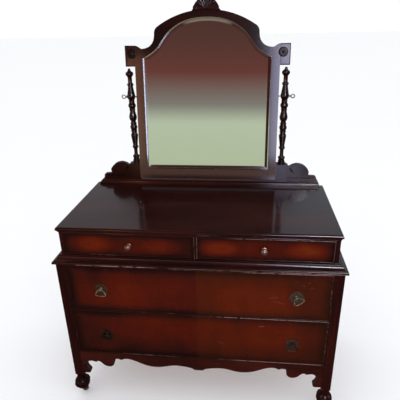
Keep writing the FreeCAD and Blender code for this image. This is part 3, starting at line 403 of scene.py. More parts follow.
def plain_wood(name, along):
    """Unfinished secondary wood of the drawer boxes and the back."""
    tones = bpy.context.scene.dresser_finish
    raw = tones.raw_wood
    finish = Finish(name)
    figure, streak, pores = grain_marks(finish, along, (3.0, 1.0, 2.0))
    wood = finish.ramp(figure * 0.55 + streak * 0.45,
                       [(0.3, scaled(raw, 0.55)), (0.5, raw), (0.7, scaled(raw, 1.3))])
    wood = finish.mix(pores * 0.35, wood, scaled(raw, 0.35))
    grime = finish.band(finish.cloud(4), 0.5, 0.72)
    wood = finish.mix(grime * 0.5, wood, tones.grime)
    return finish.skin({"Specular IOR Level": 0.3}, colour=wood, roughness=0.62 + 0.2 * streak,
                       normal=finish.bump(streak - pores, 0.3, 0.0005))


def bare(along):
    """The unfinished wood, with its grain along one axis."""
    return finish_once("raw_wood_" + ("across", "deep", "upright")[along], plain_wood, along=along)


def aged_brass(name, bright, dull, metallic=1.0):
    """Dull brass, brown in its hollows."""
    finish = Finish(name)
    blotch = finish.cloud(90)
    fine = finish.cloud(700, 2.0, 0.5)
    tarnish = finish.band(blotch, 0.38, 0.62)
    colour = finish.mix(tarnish * (1.0 - 0.8 * finish.mark("arris")), bright, dull)
    return finish.skin({"Metallic": metallic}, colour=colour, roughness=0.3 + 0.22 * tarnish + 0.08 * fine,
                       normal=finish.bump(fine + blotch, 0.2, 0.0002))


def dark_plate(name, left, right):
    """Browned pull plates, rubbed pinkish at their edges, each in the tone of its side: painted shade left,
    painted light right.
    """
    finish = Finish(name)
    x, _, _ = finish.axes(finish.place())
    blotch = finish.cloud(110)
    rubbed = finish.mark("arris") * finish.band(blotch, 0.4, 0.6)
    # The plates darken to the left and lighten to the right: painted shade and painted light.
    tone = finish.mix(finish.band(x, -0.1, 0.1), left, right)
    ground = finish.mix(blotch, finish.mix(0.6, tone, (0.0, 0.0, 0.0)), tone)
    colour = finish.mix(rubbed, ground, bpy.context.scene.dresser_finish.plate_rim)
    return finish.skin({"Specular IOR Level": 0.1}, colour=colour,
                       roughness=0.42 + 0.2 * blotch, normal=finish.bump(blotch, 0.25, 0.0003))


def worn_iron(name):
    """Greyed iron of the casters."""
    tones = bpy.context.scene.dresser_finish
    finish = Finish(name)
    blotch = finish.cloud(120, 5.0, 0.65)
    rust = finish.band(blotch, 0.5, 0.66)
    return finish.skin({"Metallic": 0.7}, colour=finish.mix(rust, tones.iron, tones.rust),
                       roughness=0.45 + 0.3 * rust, normal=finish.bump(blotch, 0.4, 0.0004))


def silvered_glass(name):
    """Plate glass silvered at the back, with a little dust and foxing."""
    tones = bpy.context.scene.dresser_finish
    finish = Finish(name)
    dust = finish.cloud(24, 5.0, 0.7)
    spot = finish.band(finish.cloud(420, 2.0, 0.5), 0.74, 0.78) * finish.band(dust, 0.5, 0.62)
    return finish.skin({"Metallic": 1.0}, colour=finish.mix(spot, tones.silver, tones.foxing),
                       roughness=0.012 + 0.03 * finish.band(dust, 0.45, 0.75))


def pale_floor(name):
    """Matt studio floor."""
    tone = bpy.context.scene.dresser_studio.floor_colour
    finish = Finish(name)
    mottle = finish.cloud(2, 3.0, 0.5)
    return finish.skin({"Specular IOR Level": 0.1}, colour=finish.mix(mottle, scaled(tone, 0.985), tone),
                       roughness=0.7 + 0.1 * mottle)


# ---- Meshes ----


def solids_of(node):
    """The closed solids of a CAD node, each joined up as a bmesh of flat faces."""
    mesh = NODES[node].data
    points = [tuple(round(c, 7) for c in vertex.co) for vertex in mesh.vertices]
    found, triangles, loose = [], [], set()
    for face in mesh.polygons:
        ring = [points[index] for index in face.vertices]
        if len(set(ring)) < 3:
            continue
        triangles.append(ring)
        for first, second in zip(ring, ring[1:] + ring[:1]):
            loose ^= {frozenset((first, second))}
        if not loose:
            found.append(triangles)
            triangles = []
    if triangles:
        found.append(triangles)
    made = []
    for triangles in found:
        bm = bmesh.new()
        known = {}
        for ring in triangles:
            for point in ring:
                if point not in known:
                    known[point] = bm.verts.new(point)
            corners = [known[point] for point in ring]
            if bm.faces.get(corners) is None:
                bm.faces.new(corners)
        bmesh.ops.dissolve_limit(bm, angle_limit=math.radians(FLAT_BEND), verts=bm.verts, edges=bm.edges,
                                 use_dissolve_boundaries=False, delimit={"NORMAL"})
        made.append(bm)
    return made


def mark_faces(faces, layer):
    """Writes 1 on every corner of the faces."""
    for face in faces:
        for loop in face.loops:
            loop[layer] = 1.0


def mark_where(bm, layer, picks):
    """Marks the faces that picks says yes to, given a face and its middle."""
    mark_faces([face for face in bm.faces if picks(face, face.calc_center_median())], layer)


def round_over(bm, edges, width, layer, segments):
    """Rounds edges over and marks the faces that this makes."""
    cut = bmesh.ops.bevel(bm, geom=edges, offset=width, offset_type="OFFSET", segments=segments, profile=0.5,
                          affect="EDGES", clamp_overlap=True, material=-1)
    mark_faces(cut["faces"], layer)


def soften(bm, width):
    """Rounds the arrises and marks the rounded faces, so that wear can follow them."""
    arris = bm.loops.layers.float.new("arris")
    sharp = [edge for edge in bm.edges
             if len(edge.link_faces) == 2 and edge.calc_face_angle(0.0) > math.radians(ARRIS_BEND)]
    if sharp and width > 0:
        round_over(bm, sharp, width, arris, segments=2)
    return bm


def outline_edges(bm, picks):
    """The front edges that picks says yes to, given the edge and the normal of its other face."""
    chosen = []
    for edge in bm.edges:
        if len(edge.link_faces) == 2:
            front, other = sorted(edge.link_faces, key=lambda face: face.normal.y)
            if front.normal.y < -0.9 and edge.calc_face_angle(0.0) > 0.5 and picks(edge, other.normal):
                chosen.append(edge)
    return chosen


def middle_of(edge):
    return (edge.verts[0].co + edge.verts[1].co) / 2


def cut_level(bm, height, **clear):
    """Cuts a mesh level at a height, with clear_inner to drop what is below or clear_outer what is above."""
    bmesh.ops.bisect_plane(bm, geom=bm.verts[:] + bm.edges[:] + bm.faces[:], plane_co=(0, 0, height),
                           plane_no=(0, 0, 1), **clear)
    if clear:
        bmesh.ops.holes_fill(bm, edges=[edge for edge in bm.edges if edge.is_boundary])


def block(low, high):
    """A plain board between two corners."""
    low, high = Vector(low), Vector(high)
    bm = bmesh.new()
    bmesh.ops.create_cube(bm, size=1.0, matrix=Matrix.LocRotScale((low + high) / 2, None, high - low))
    return bm


def mesh_of(bm, name):
    """Turns a bmesh into a mesh, and frees it."""
    mesh = bpy.data.meshes.new(name)
    bm.to_mesh(mesh)
    bm.free()
    return mesh


def new_object(name, data):
    """An object in the scene that shows the data."""
    obj = bpy.data.objects.new(name, data)
    bpy.context.scene.collection.objects.link(obj)
    return obj


def piece(name, parts, finish, node, smooth=32.0):
    """Puts bmeshes in the scene as one object in place of their CAD node, riding on that node's body."""
    whole = bmesh.new()
    for part in parts:
        mesh = mesh_of(part, "part")
        whole.from_mesh(mesh)
        bpy.data.meshes.remove(mesh)
    bmesh.ops.triangulate(whole, faces=[face for face in whole.faces if len(face.verts) > 4])
    mesh = mesh_of(whole, name)
    mesh.shade_smooth()
    mesh.set_sharp_from_angle(angle=math.radians(smooth))
    mesh.materials.append(finish)
    obj = new_object(name, mesh)
    level = obj.modifiers.new("Level", "WEIGHTED_NORMAL")
    level.weight = 100
    level.keep_sharp = True
    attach(obj, BODY_OF[node])
    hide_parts(node)
    return obj


def softened(name, node, finish, width=None, smooth=32.0, before=None, after=None):
    """A CAD node's own shape with its arrises rounded, and other work on each solid before or after."""
    width = bpy.context.scene.dresser_sizes.arris if width is None else width
    parts = solids_of(node)
    for bm in parts:
        if before:
            before(bm)
        soften(bm, width)
        if after:
            after(bm)
    return piece(name, parts, finish, node, smooth)


def remeshed(bm, voxel):
    """One smooth closed skin over the overlapping solids of a bmesh."""
    mesh = mesh_of(bm, "rough")
    rough = new_object("rough", mesh)
    skin = rough.modifiers.new("Skin", "REMESH")
    skin.mode = "VOXEL"
    skin.voxel_size = voxel
    depsgraph = bpy.context.evaluated_depsgraph_get()
    even = bpy.data.meshes.new_from_object(rough.evaluated_get(depsgraph))
    bpy.data.objects.remove(rough)
    bpy.data.meshes.remove(mesh)
    skinned = bmesh.new()
    skinned.from_mesh(even)
    bpy.data.meshes.remove(even)
    for _ in range(2):
        bmesh.ops.smooth_vert(skinned, verts=skinned.verts, factor=0.5, use_axis_x=True, use_axis_y=True,
                              use_axis_z=True)
    return skinned


def bead_chain(bm, stations, segments=20):
    """Balls at (place, radius) stations, with a cone from each to the next."""
    for place, radius in stations:
        bmesh.ops.create_uvsphere(bm, u_segments=segments, v_segments=segments // 2, radius=radius,
                                  matrix=Matrix.Translation(place))
    for (start, r_start), (end, r_end) in zip(stations, stations[1:]):
        run = end - start
        turn = Vector((0, 0, 1)).rotation_difference(run.normalized()).to_matrix().to_4x4()
        bmesh.ops.create_cone(bm, cap_ends=True, segments=segments, radius1=r_start, radius2=r_end,
                              depth=run.length, matrix=Matrix.Translation((start + end) / 2) @ turn)


# ---- Settings ----


def a_colour(name, description, default):
    return FloatVectorProperty(name=name, description=description, default=default, size=3, min=0.0, max=1.0,
                               subtype="COLOR")


def a_number(name, description, default, unit="NONE"):
    return FloatProperty(name=name, description=description, default=default, min=0.0, unit=unit)


class DresserSizes(bpy.types.PropertyGroup):
    """Sizes of what is added to the frame."""

    arris: a_number("Arris", "Rounding of the wooden edges", 0.0008, "LENGTH")
    metal_arris: a_number("Metal edge", "Rounding of the metal edges", 0.0003, "LENGTH")
    outline_round: a_number("Outline round", "Rounding of the mirror frame's outer edge", 0.0038, "LENGTH")
    claw_voxel: a_number("Claw voxel", "Grain of the carved feet", 0.0013, "LENGTH")


class DresserFinish(bpy.types.PropertyGroup):
    """Colours of the woods, metals and glass."""

    stain_dark: a_colour("Dark stain", "Mahogany in its dark grain", (0.0085, 0.0020, 0.0016))
    stain_middle: a_colour("Middle stain", "Mahogany between its grain", (0.019, 0.0036, 0.0025))
    stain_bright: a_colour("Bright stain", "Mahogany in its bright figure", (0.040, 0.0062, 0.0034))
    tone_edge: a_colour("Edge tone", "Veneer at the darkest edge", (0.010, 0.0026, 0.0018))
    tone_dark: a_colour("Dark tone", "Veneer near the edges", (0.028, 0.0042, 0.0024))
    tone_red: a_colour("Red tone", "Veneer over most of a drawer", (0.062, 0.0052, 0.0012))
    tone_bright: a_colour("Bright tone", "Veneer in a lighter patch", (0.096, 0.0092, 0.0008))
    tone_amber: a_colour("Amber tone", "Veneer where the stain was wiped", (0.135, 0.0290, 0.0010))
    bead_ground: a_colour("Bead", "Stain of the cock beads", (0.022, 0.0055, 0.0036))
    worn: a_colour("Worn edge", "Wood where the lacquer is rubbed through", (0.30, 0.17, 0.15))
    raw_wood: a_colour("Raw wood", "Unfinished inner wood", (0.30, 0.17, 0.085))
    grime: a_colour("Grime", "Old dirt on the unfinished wood", (0.07, 0.045, 0.03))
    brass: a_colour("Brass", "Rubbed brass", (0.44, 0.33, 0.19))
    tarnish: a_colour("Tarnish", "Brass in its hollows", (0.12, 0.078, 0.045))
    knob_bright: a_colour("Knob", "Rubbed metal of the knobs", (0.50, 0.33, 0.27))
    knob_dull: a_colour("Knob hollows", "Knobs in their hollows", (0.26, 0.14, 0.10))
    plate_rim: a_colour("Plate rim", "Rubbed edges of the pull plates", (0.16, 0.075, 0.06))
    iron: a_colour("Iron", "Worn iron of the casters", (0.15, 0.10, 0.09))
    rust: a_colour("Rust", "Casters where they have rusted", (0.075, 0.03, 0.02))
    silver: a_colour("Silvering", "Tint of the mirror glass", (0.86, 0.885, 0.87))
    foxing: a_colour("Foxing", "Dark specks in the silvering", (0.08, 0.07, 0.06))


class DresserStudio(bpy.types.PropertyGroup):
    """Floor, light and camera."""

    floor_colour: a_colour("Floor", "Pale studio floor", (0.975, 0.975, 0.975))
    room_level: a_number("Room light", "Strength of the even light all round", 1.06)
    window_light: a_number("Window light", "Power of the cool light to the right", 25.0, "POWER")
    sky_light: a_number("Sky light", "Power of the broad cool light far to the right", 18.0, "POWER")
    edge_light: a_number("Edge light", "Power of the light that only the gloss shows", 80.0, "POWER")
    lamp_light: a_number("Lamp light", "Power of the warm light to the left", 3.5, "POWER")
    lens: a_number("Lens", "Focal length of the camera in millimetres", 38.778, "CAMERA")


# ---- Operators ----


class DRESSER_OT_case(bpy.types.Operator):
    """Top board, tiers, mouldings and panels of the case"""

    bl_idname = "dresser.case"
    bl_label = "Case"

    def execute(self, context):
        softened("top_board_veneered", "top_board", stained("top"))
        softened("frieze_moulding", "frieze_rail", stained("across"))
        softened("side_boards", "side_panels", stained("deep"))
        softened("drawer_divider", "upper_divider", stained("rubbed"), width=0.0012)
        softened("waist_moulding_runs", "waist_moulding", stained("waist"),
                 before=lambda bm: cut_level(bm, WAIST_EDGE + NOSE_STRIP), after=self.mark_nosing)
        softened("apron_carved", "front_apron", stained("apron"), before=self.level_brackets)
        softened("side_apron_boards", "side_aprons", stained("deep"))
        softened("rear_leg_posts", "rear_legs", stained("upright"))
        return {"FINISHED"}

    @staticmethod
    def mark_nosing(bm):
        """Marks a strip along the lower edge of the waist's nosing for wear and a painted highlight."""
        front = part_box("waist_moulding")[0].y
        mark_where(bm, bm.loops.layers.float["arris"], lambda face, at:
                   at.y < front + 0.0005 and WAIST_EDGE - 0.001 < at.z < WAIST_EDGE + NOSE_STRIP)

    @staticmethod
    def level_brackets(bm):
        """Cuts the apron's brackets off level above the ankles."""
        cut_level(bm, BRACKET_FOOT, clear_inner=True)
        bmesh.ops.recalc_face_normals(bm, faces=bm.faces)


class DRESSER_OT_inside(bpy.types.Operator):
    """Unfinished boards inside and behind the case"""

    bl_idname = "dresser.inside"
    bl_label = "Inside and back"

    def execute(self, context):
        softened("dust_board_set", "dust_boards", bare(X), width=0.0005)
        softened("drawer_runner_set", "drawer_guides", bare(Y), width=0.0005)
        softened("back_boards", "back_panels", bare(X), width=0.0006)
        softened("upright_pair", "mirror_uprights", bare(Z), width=0.001)
        return {"FINISHED"}


class DRESSER_OT_front_legs(bpy.types.Operator):
    """Front stiles with carved ball and claw feet"""

    bl_idname = "dresser.front_legs"
    bl_label = "Front legs"

    def execute(self, context):
        sizes = context.scene.dresser_sizes
        for side in SIDES:
            node = "front_leg_" + side
            low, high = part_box(node)
            middle = (low.x + high.x) / 2
            post = block((middle - LEG_WIDTH / 2, FRONT, ANKLE),
                         (middle + LEG_WIDTH / 2, FRONT + LEG_DEPTH, high.z))
            piece("leg_stile_" + side, [soften(post, sizes.arris)], stained("leg"), node)
            foot = self.claw_foot(Vector((middle, FRONT + FOOT_SETBACK, 0.0)), sizes.claw_voxel)
            piece("claw_foot_" + side, [foot], stained("carved"), node, smooth=60.0)
        return {"FINISHED"}

    def claw_foot(self, centre, voxel):
        """Four knuckled claws over a ball, flat below."""
        bm = bmesh.new()
        ball = centre + Vector((0, 0, BALL_HEIGHT))
        bmesh.ops.create_uvsphere(bm, u_segments=48, v_segments=24, radius=BALL_RADIUS,
                                  matrix=Matrix.Translation(ball))
        bead_chain(bm, [(centre + Vector((0, 0, height)), radius) for height, radius in NECK])
        for toe in range(4):
            heading = math.radians(45 + 90 * toe)
            out = Vector((math.cos(heading), math.sin(heading), 0.0))
            claw = []
            for degrees, reach, thick in CLAW:
                rise = math.radians(degrees)
                place = ball + out * (reach * math.cos(rise)) + Vector((0, 0, reach * math.sin(rise)))
                claw.append((place, thick))
            bead_chain(bm, claw)
        bm = remeshed(bm, voxel)
        cut_level(bm, FOOT_FLAT, clear_inner=True)
        cut_level(bm, NECK_TOP, clear_outer=True)
        bmesh.ops.recalc_face_normals(bm, faces=bm.faces)
        return bm


# A light is (across, up, half width, half height, level) on a front that runs from -1 to 1 each way.
# The ground is the tone between the lights, the rim how far the edges darken, partly as the stain's toning
# and partly as painted shade, and the seam how far the right half lightens. A scratch is (x, z, turn in
# degrees, half length, half width).
DRAWERS = {
    "small_drawer_left": {
        "lights": [(-0.56, 0.05, 0.50, 1.1, 0.50), (0.48, 0.0, 0.46, 1.0, 0.42), (0.0, 0.0, 0.95, 1.0, 0.18)],
        "ground": 0.24, "rim": 0.22, "shift": (0.3, 0, 0.1)},
    "small_drawer_right": {
        "lights": [(-0.66, 0.0, 0.42, 1.0, 0.58), (0.58, 0.0, 0.46, 1.0, 0.56), (0.0, 0.0, 0.95, 1.0, 0.20)],
        "ground": 0.28, "rim": 0.22, "shift": (2.3, 0, 0.6),
        "runs": [(0.36, 0.25, 0.8475, 0.002, 0.6), (0.535, 0.003, 0.80, 0.05, 0.22)]},
    "long_drawer_upper": {
        "lights": [(-0.52, -0.22, 0.56, 1.2, 0.29), (0.42, -0.24, 0.58, 1.3, 0.33),
                   (0.0, -0.2, 1.1, 1.2, 0.22)],
        "ground": 0.30, "rim": 0.34, "shift": (1.1, 0, 1.9), "seam": 0.3,
        "runs": [(0.37, 0.20, 0.707, 0.003, 0.8)],
        "scratches": [(0.402, 0.672, 20, 0.005, 0.0014), (0.428, 0.655, -35, 0.004, 0.0012),
                      (0.46, 0.646, 70, 0.004, 0.0012), (0.448, 0.668, 10, 0.004, 0.0013),
                      (0.31, 0.592, 8, 0.022, 0.0008), (0.33, 0.572, -14, 0.026, 0.0007)]},
    "long_drawer_lower": {
        "lights": [(0.10, 0.30, 0.75, 1.1, 0.26), (0.55, 0.25, 0.50, 1.1, 0.34), (-0.4, 0.3, 0.6, 1.0, 0.24)],
        "ground": 0.26, "rim": 0.30, "shift": (5.1, 0, 3.9), "seam": 0.2,
        "runs": [(0.30, 0.24, 0.487, 0.003, 0.7), (0.34, 0.22, 0.259, 0.003, 0.6)],
        "scratches": [(0.27, 0.447, 5, 0.012, 0.0020), (-0.36, 0.452, 40, 0.006, 0.0022),
                      (0.10, 0.350, -30, 0.018, 0.0010)]},
}


class DRESSER_OT_drawers(bpy.types.Operator):
    """Veneered drawer fronts with cock beads, and their boxes"""

    bl_idname = "dresser.drawers"
    bl_label = "Drawers"

    def execute(self, context):
        for name, look in DRAWERS.items():
            veneer = toned_veneer(name + "_veneer", **look)
            front = softened(name + "_veneered", name + "_front", veneer, width=0.0006)
            low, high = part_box(name + "_front")
            self.map_front(front.data, low, high)
            self.mark_bead(front.data, low)
            softened(name + "_sides", name + "_box", bare(Y), width=0.0006)
            softened(name + "_bottom", name + "_floor", bare(X), width=0.0004)
        return {"FINISHED"}

    @staticmethod
    def map_front(mesh, low, high):
        """Lays a UV map on a drawer front that runs from -1 to 1 across it each way."""
        middle, half = (low + high) / 2, (high - low) / 2
        layer = mesh.uv_layers.new(name="front")
        for loop in mesh.loops:
            at = mesh.vertices[loop.vertex_index].co - middle
            layer.data[loop.index].uv = (at.x / half.x, at.z / half.z)

    @staticmethod
    def mark_bead(mesh, low):
        """Marks the faces that stand out in front of the veneer."""
        bead = mesh.attributes.new("bead", "FLOAT", "CORNER")
        for face in mesh.polygons:
            raised = face.center.y < low.y + BEAD_STAND
            for index in face.loop_indices:
                bead.data[index].value = 1.0 if raised else 0.0


class DRESSER_OT_knobs(bpy.types.Operator):
    """Turned knobs of the small drawers"""

    bl_idname = "dresser.knobs"
    bl_label = "Knobs"

    def execute(self, context):
        tones = context.scene.dresser_finish
        pale = aged_brass("brass_knob", tones.knob_bright, tones.knob_dull)
        for side in SIDES:
            softened("knob_turned_" + side, "knob_" + side, pale, width=0.0002, smooth=40.0)
        return {"FINISHED"}


def rubbed_brass():
    """Brass of the upper pulls and the thumb screws."""
    tones = bpy.context.scene.dresser_finish
    return finish_once("brass_aged", aged_brass, bright=tones.brass, dull=tones.tarnish, metallic=0.55)


# The finish of each level's pull plates, and its tones on the left and on the right; the left tone is
# painted shade and the right tone painted light.
PLATES = {"upper": ("plate_worn", (0.048, 0.019, 0.007), (0.056, 0.036, 0.022)),
          "lower": ("plate_dark", (0.018, 0.006, 0.004), (0.045, 0.020, 0.012))}


class DRESSER_OT_pulls(bpy.types.Operator):
    """Plates, posts and bails of the long drawers' pulls"""

    bl_idname = "dresser.pulls"
    bl_label = "Pulls"

    def execute(self, context):
        edge = context.scene.dresser_sizes.metal_arris
        tarnish = context.scene.dresser_finish.tarnish
        brasses = {"upper": rubbed_brass(), "lower": aged_brass("brass_dark", tarnish, scaled(tarnish, 0.4))}
        for level, (plate, left, right) in PLATES.items():
            softened("pull_plate_pair_" + level, "pull_plates_" + level,
                     dark_plate(plate, left, right), width=edge)
            for side in SIDES:
                name = level + "_" + side
                softened("post_turned_" + name, "pull_post_" + name, brasses[level], width=edge, smooth=40.0)
                softened("bail_bent_" + name, "pull_bail_" + name, brasses[level], width=0.0, smooth=50.0)
        return {"FINISHED"}


class DRESSER_OT_stand(bpy.types.Operator):
    """Base plate, scrolled brackets and turned posts that carry the mirror"""

    bl_idname = "dresser.stand"
    bl_label = "Mirror stand"

    def execute(self, context):
        softened("base_plate_moulded", "mirror_base_plate", stained("plate"))
        softened("scroll_bracket_pair", "scroll_brackets", stained("across"), before=self.mark_recess)
        softened("post_pair_turned", "turned_posts", stained("turned"), width=0.0004, smooth=40.0)
        return {"FINISHED"}

    @staticmethod
    def mark_recess(bm):
        """Marks the carved recess of a scroll bracket for painted shade and a thinner coat."""
        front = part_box("scroll_brackets")[0].y
        mark_where(bm, bm.loops.layers.float.new("shade"),
                   lambda face, at: RECESS_TOP < at.y - front < RECESS_GROUND)


class DRESSER_OT_mirror_frame(bpy.types.Operator):
    """Stiles, rails, ears, rosettes and carved crest of the mirror"""

    bl_idname = "dresser.mirror_frame"
    bl_label = "Mirror frame"

    def execute(self, context):
        across, upright = stained("across"), stained("upright")
        for side in reversed(SIDES):
            self.outlined("stile_veneered_" + side, "mirror_stile_" + side, upright,
                          lambda edge, normal: normal.z > 0.5)
        self.outlined("rail_veneered_bottom", "mirror_bottom_rail", across)
        self.outlined("rail_veneered_crest", "mirror_crest_rail", stained("crest"), self.on_crest_line)
        self.outlined("ear_pair", "mirror_ears", upright,
                      lambda edge, normal: abs(middle_of(edge).x) > EAR_JOINT)
        self.rosettes()
        softened("shell_carved", "crest_cartouche", across, width=0.0)
        softened("backing_board", "mirror_back_board", bare(Z), width=0.0005)
        return {"FINISHED"}

    def outlined(self, name, node, finish, picks=None):
        """A frame member, dull with painted shade where it faces the glass, with part of its front outline
        rounded over.
        """
        width = bpy.context.scene.dresser_sizes.outline_round

        def before(bm):
            shade = bm.loops.layers.float.new("shade")
            mark_where(bm, shade, self.looks_at_glass)
            if picks:
                # The rounding is marked for painted shade too: a dark line along the outer edge.
                round_over(bm, outline_edges(bm, picks), width, shade, segments=4)

        softened(name, node, finish, before=before)

    @staticmethod
    def looks_at_glass(face, at):
        """Whether a face is one of the narrow ones that look at the glass."""
        inward = face.normal.dot(GLASS_MIDDLE - at) > 0
        return inward and abs(face.normal.y) < 0.5 and abs(at.x) < SIGHT_HALF

    @staticmethod
    def on_crest_line(edge, normal):
        """Whether an edge is on the crest's top line, and not on its sight edge or its joints."""
        x = middle_of(edge).x
        return abs(x) < CREST_JOINT and (normal.z > 0.2 or (normal.z > -0.2 and normal.x * x > 0))

    def rosettes(self):
        """Turned bosses on the ears, low and domed with a small raised middle."""
        ear = max(NODES["mirror_ears"].data.polygons, key=lambda face: -face.normal.y * face.area)
        low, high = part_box("mirror_rosettes")
        middle_z = (low.z + high.z) / 2
        middle_y = ear.center.y - ear.normal.z * (middle_z - ear.center.z) / ear.normal.y
        parts = []
        for x in (-ROSETTE_X, ROSETTE_X):
            middle = Vector((x, middle_y, middle_z))
            bm = bmesh.new()
            line = [bm.verts.new(middle + ear.normal * rise + Vector((radius, 0, 0)))
                    for rise, radius in ROSETTE]
            edges = [bm.edges.new(pair) for pair in zip(line, line[1:])]
            bmesh.ops.spin(bm, geom=line + edges, cent=middle, axis=ear.normal, angle=math.tau, steps=64,
                           use_merge=True)
            bmesh.ops.remove_doubles(bm, verts=bm.verts, dist=0.00001)
            bmesh.ops.recalc_face_normals(bm, faces=bm.faces)
            parts.append(bm)
        piece("rosette_pair", parts, stained("boss"), "mirror_rosettes", smooth=50.0)


class DRESSER_OT_glass(bpy.types.Operator):
    """Bevelled mirror glass"""

    bl_idname = "dresser.glass"
    bl_label = "Mirror glass"

    def execute(self, context):
        softened("glass_bevelled", "mirror_glass", silvered_glass("glass_silvered"), width=0.0, smooth=2.5)
        return {"FINISHED"}


class DRESSER_OT_screws(bpy.types.Operator):
    """Thumb screws of the mirror's pivots"""

    bl_idname = "dresser.screws"
    bl_label = "Thumb screws"

    def execute(self, context):
        brass = rubbed_brass()
        for side in SIDES:
            softened("thumb_screw_ring_" + side, "thumb_screw_" + side, brass, width=0.0, smooth=50.0)
        return {"FINISHED"}


class DRESSER_OT_casters(bpy.types.Operator):
    """Small swivelling casters under the feet"""

    bl_idname = "dresser.casters"
    bl_label = "Casters"

    def execute(self, context):
        iron = worn_iron("iron_worn")
        for spot in ("front_left", "front_right", "rear_left", "rear_right"):
            softened("fork_iron_" + spot, "caster_fork_" + spot, iron, width=0.0003)
            softened("wheel_iron_" + spot, "caster_wheel_" + spot, iron, width=0.0004)
        return {"FINISHED"}


# What the gloss mirrors in front of the drawers and behind them: (height, colour), from 0 straight down to 1
# straight up.
ROOM_FRONT = [
    (0.0, (0.02, 0.010, 0.007)), (0.29, (0.030, 0.018, 0.012)), (0.34, (0.30, 0.17, 0.13)),
    (0.425, (0.60, 0.38, 0.29)), (0.438, (1.9, 1.05, 0.88)), (0.4535, (1.9, 1.05, 0.88)),
    (0.458, (0.46, 0.52, 0.35)), (0.51, (0.49, 0.55, 0.40)), (0.53, (0.22, 0.205, 0.18)),
    (0.552, (0.17, 0.10, 0.085)), (0.565, (0.14, 0.045, 0.037)), (0.60, (0.09, 0.038, 0.031)),
    (0.684, (0.06, 0.025, 0.02)), (0.690, (0.20, 0.165, 0.12)), (0.704, (0.20, 0.165, 0.12)),
    (0.712, (0.04, 0.016, 0.012)), (1.0, (0.03, 0.015, 0.012))]
ROOM_BACK = [
    (0.0, (0.03, 0.018, 0.012)), (0.40, (0.10, 0.10, 0.11)), (0.55, (0.30, 0.32, 0.35)),
    (0.80, (0.38, 0.40, 0.44)), (1.0, (0.18, 0.16, 0.16))]
# Colours of its pane and dim corner in front, and of the gap and the left and right tints behind.
PANE, DIM_CORNER = (0.50, 0.52, 0.60), (0.035, 0.012, 0.010)
GAP_LOW, GAP_HIGH = (0.13, 0.12, 0.14), (0.03, 0.015, 0.015)
BACK_WARM, BACK_COOL = (0.94, 0.88, 0.86), (0.95, 1.10, 1.14)
EVEN_LIGHT = (0.97, 0.98, 1.0)

LIGHT_DISTANCE = 3.6
# The lights, which face the drawers: (x, z, width, height, colour, whether only the gloss shows it).
LIGHTS = {
    "window_light": (0.705, 1.6, 0.47, 1.64, (0.69, 0.70, 1.0), False),
    "sky_light": (1.65, 1.6, 0.80, 1.6, (0.86, 0.90, 1.0), False),
    "edge_light": (1.28, 2.83, 0.66, 0.64, (0.86, 0.90, 1.0), True),
    "lamp_light": (-1.35, 1.42, 0.26, 1.44, (1.0, 0.46, 0.28), False),
}

# The camera's place in metres, its turns in radians and its shift in picture widths.
CAMERA_PLACE = (0.20055, -1.76323, 1.61334)
CAMERA_YAW, CAMERA_PITCH, CAMERA_ROLL = -0.1146, 0.4171, -0.0224
CAMERA_SHIFT = (-0.0056, 0.0314)


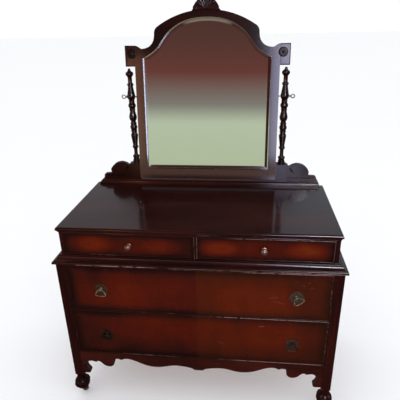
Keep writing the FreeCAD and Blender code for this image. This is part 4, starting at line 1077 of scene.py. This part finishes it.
class DRESSER_OT_stage(bpy.types.Operator):
    """Pale floor, soft light and the camera"""

    bl_idname = "dresser.stage"
    bl_label = "Stage"

    def execute(self, context):
        studio = context.scene.dresser_studio
        self.floor()
        self.room(context.scene, studio.room_level)
        for name, (x, z, width, height, colour, gloss_only) in LIGHTS.items():
            data = bpy.data.lights.new(name, "AREA")
            data.shape = "RECTANGLE"
            data.size, data.size_y = width, height
            data.energy = getattr(studio, name)
            data.color = colour
            lamp = new_object(name, data)
            lamp.location = (x, -LIGHT_DISTANCE, z)
            lamp.rotation_euler = (math.pi / 2, 0.0, 0.0)
            lamp.visible_diffuse = not gloss_only
        self.camera(context.scene, studio.lens)
        context.scene.view_settings.view_transform = "Standard"
        return {"FINISHED"}

    def floor(self):
        """A wide floor that the gloss doesn't mirror."""
        bm = bmesh.new()
        bmesh.ops.create_grid(bm, x_segments=2, y_segments=2, size=60.0)
        floor = new_object("studio_floor", mesh_of(bm, "studio_floor"))
        floor.data.materials.append(pale_floor("floor_pale"))
        floor.visible_glossy = False

    def room(self, scene, level):
        """Even light all round, and a dim brown room for the gloss to mirror."""
        scene.world = bpy.data.worlds.new("studio_room")
        scene.world.use_nodes = True
        weave = Weave(scene.world.node_tree)
        x, y, z = weave.axes(weave.node("ShaderNodeTexCoord", output="Generated"))
        height = z * 0.5 + 0.5
        across = x / (abs(y) + 0.001)

        front = weave.ramp(height, ROOM_FRONT)
        pane = weave.band(across, -0.31, -0.35) * weave.between(height, 0.585, 0.592, 0.615, 0.625)
        front = weave.mix(pane, front, PANE)
        front = weave.mix(weave.band(across, 0.12, 0.18), front, DIM_CORNER)

        back = weave.mix(1.0, weave.ramp(height, ROOM_BACK),
                         weave.mix(weave.band(x, -0.3, 0.3), BACK_WARM, BACK_COOL), "MULTIPLY")
        gap = weave.between(across, -0.34, -0.27, 0.08, 0.13) * weave.band(height, 0.70, 0.685)
        back = weave.mix(gap, back, weave.mix(weave.band(height, 0.667, 0.673), GAP_LOW, GAP_HIGH))

        mirrored = weave.mix(weave.band(y, -0.15, 0.15), front, back)
        shiny = weave.node("ShaderNodeLightPath", output="Is Glossy Ray")
        glow = weave.node("ShaderNodeBackground", inputs={"Color": weave.mix(shiny, EVEN_LIGHT, mirrored),
                                                          "Strength": level})
        weave.node("ShaderNodeOutputWorld", inputs={"Surface": glow})

    def camera(self, scene, lens):
        """A camera that looks down on the top board from a little to the right."""
        data = bpy.data.cameras.new("studio_camera")
        data.lens = lens
        data.sensor_width = 36.0
        data.shift_x, data.shift_y = CAMERA_SHIFT
        camera = new_object("studio_camera", data)
        camera.matrix_world = (Matrix.Translation(CAMERA_PLACE) @ Matrix.Rotation(-CAMERA_YAW, 4, "Z")
                               @ Matrix.Rotation(math.pi / 2 - CAMERA_PITCH, 4, "X")
                               @ Matrix.Rotation(CAMERA_ROLL, 4, "Z"))
        scene.camera = camera


class DRESSER_PT_panel(bpy.types.Panel):
    """Lists the pieces of the dresser"""

    bl_idname = "DRESSER_PT_panel"
    bl_label = "Dresser"
    bl_space_type = "VIEW_3D"
    bl_region_type = "UI"
    bl_category = "Dresser"

    def draw(self, context):
        for step in STEPS:
            self.layout.operator(step.bl_idname)
        for setting, group in GROUPS.items():
            box = self.layout.box()
            for name in group.__annotations__:
                box.prop(getattr(context.scene, setting), name)


STEPS = (DRESSER_OT_case, DRESSER_OT_inside, DRESSER_OT_front_legs, DRESSER_OT_drawers, DRESSER_OT_knobs,
         DRESSER_OT_pulls, DRESSER_OT_stand, DRESSER_OT_mirror_frame, DRESSER_OT_glass, DRESSER_OT_screws,
         DRESSER_OT_casters, DRESSER_OT_stage)
GROUPS = {"dresser_sizes": DresserSizes, "dresser_finish": DresserFinish, "dresser_studio": DresserStudio}
CLASSES = (*GROUPS.values(), *STEPS, DRESSER_PT_panel)


def register():
    for part in CLASSES:
        bpy.utils.register_class(part)
    for name, group in GROUPS.items():
        setattr(bpy.types.Scene, name, PointerProperty(type=group))


def unregister():
    for name in GROUPS:
        delattr(bpy.types.Scene, name)
    for part in reversed(CLASSES):
        bpy.utils.unregister_class(part)


def main():
    """Builds every piece in order."""
    register()
    for step in STEPS:
        family, name = step.bl_idname.split(".")
        getattr(getattr(bpy.ops, family), name)()


if __name__ == "__main__":
    main()
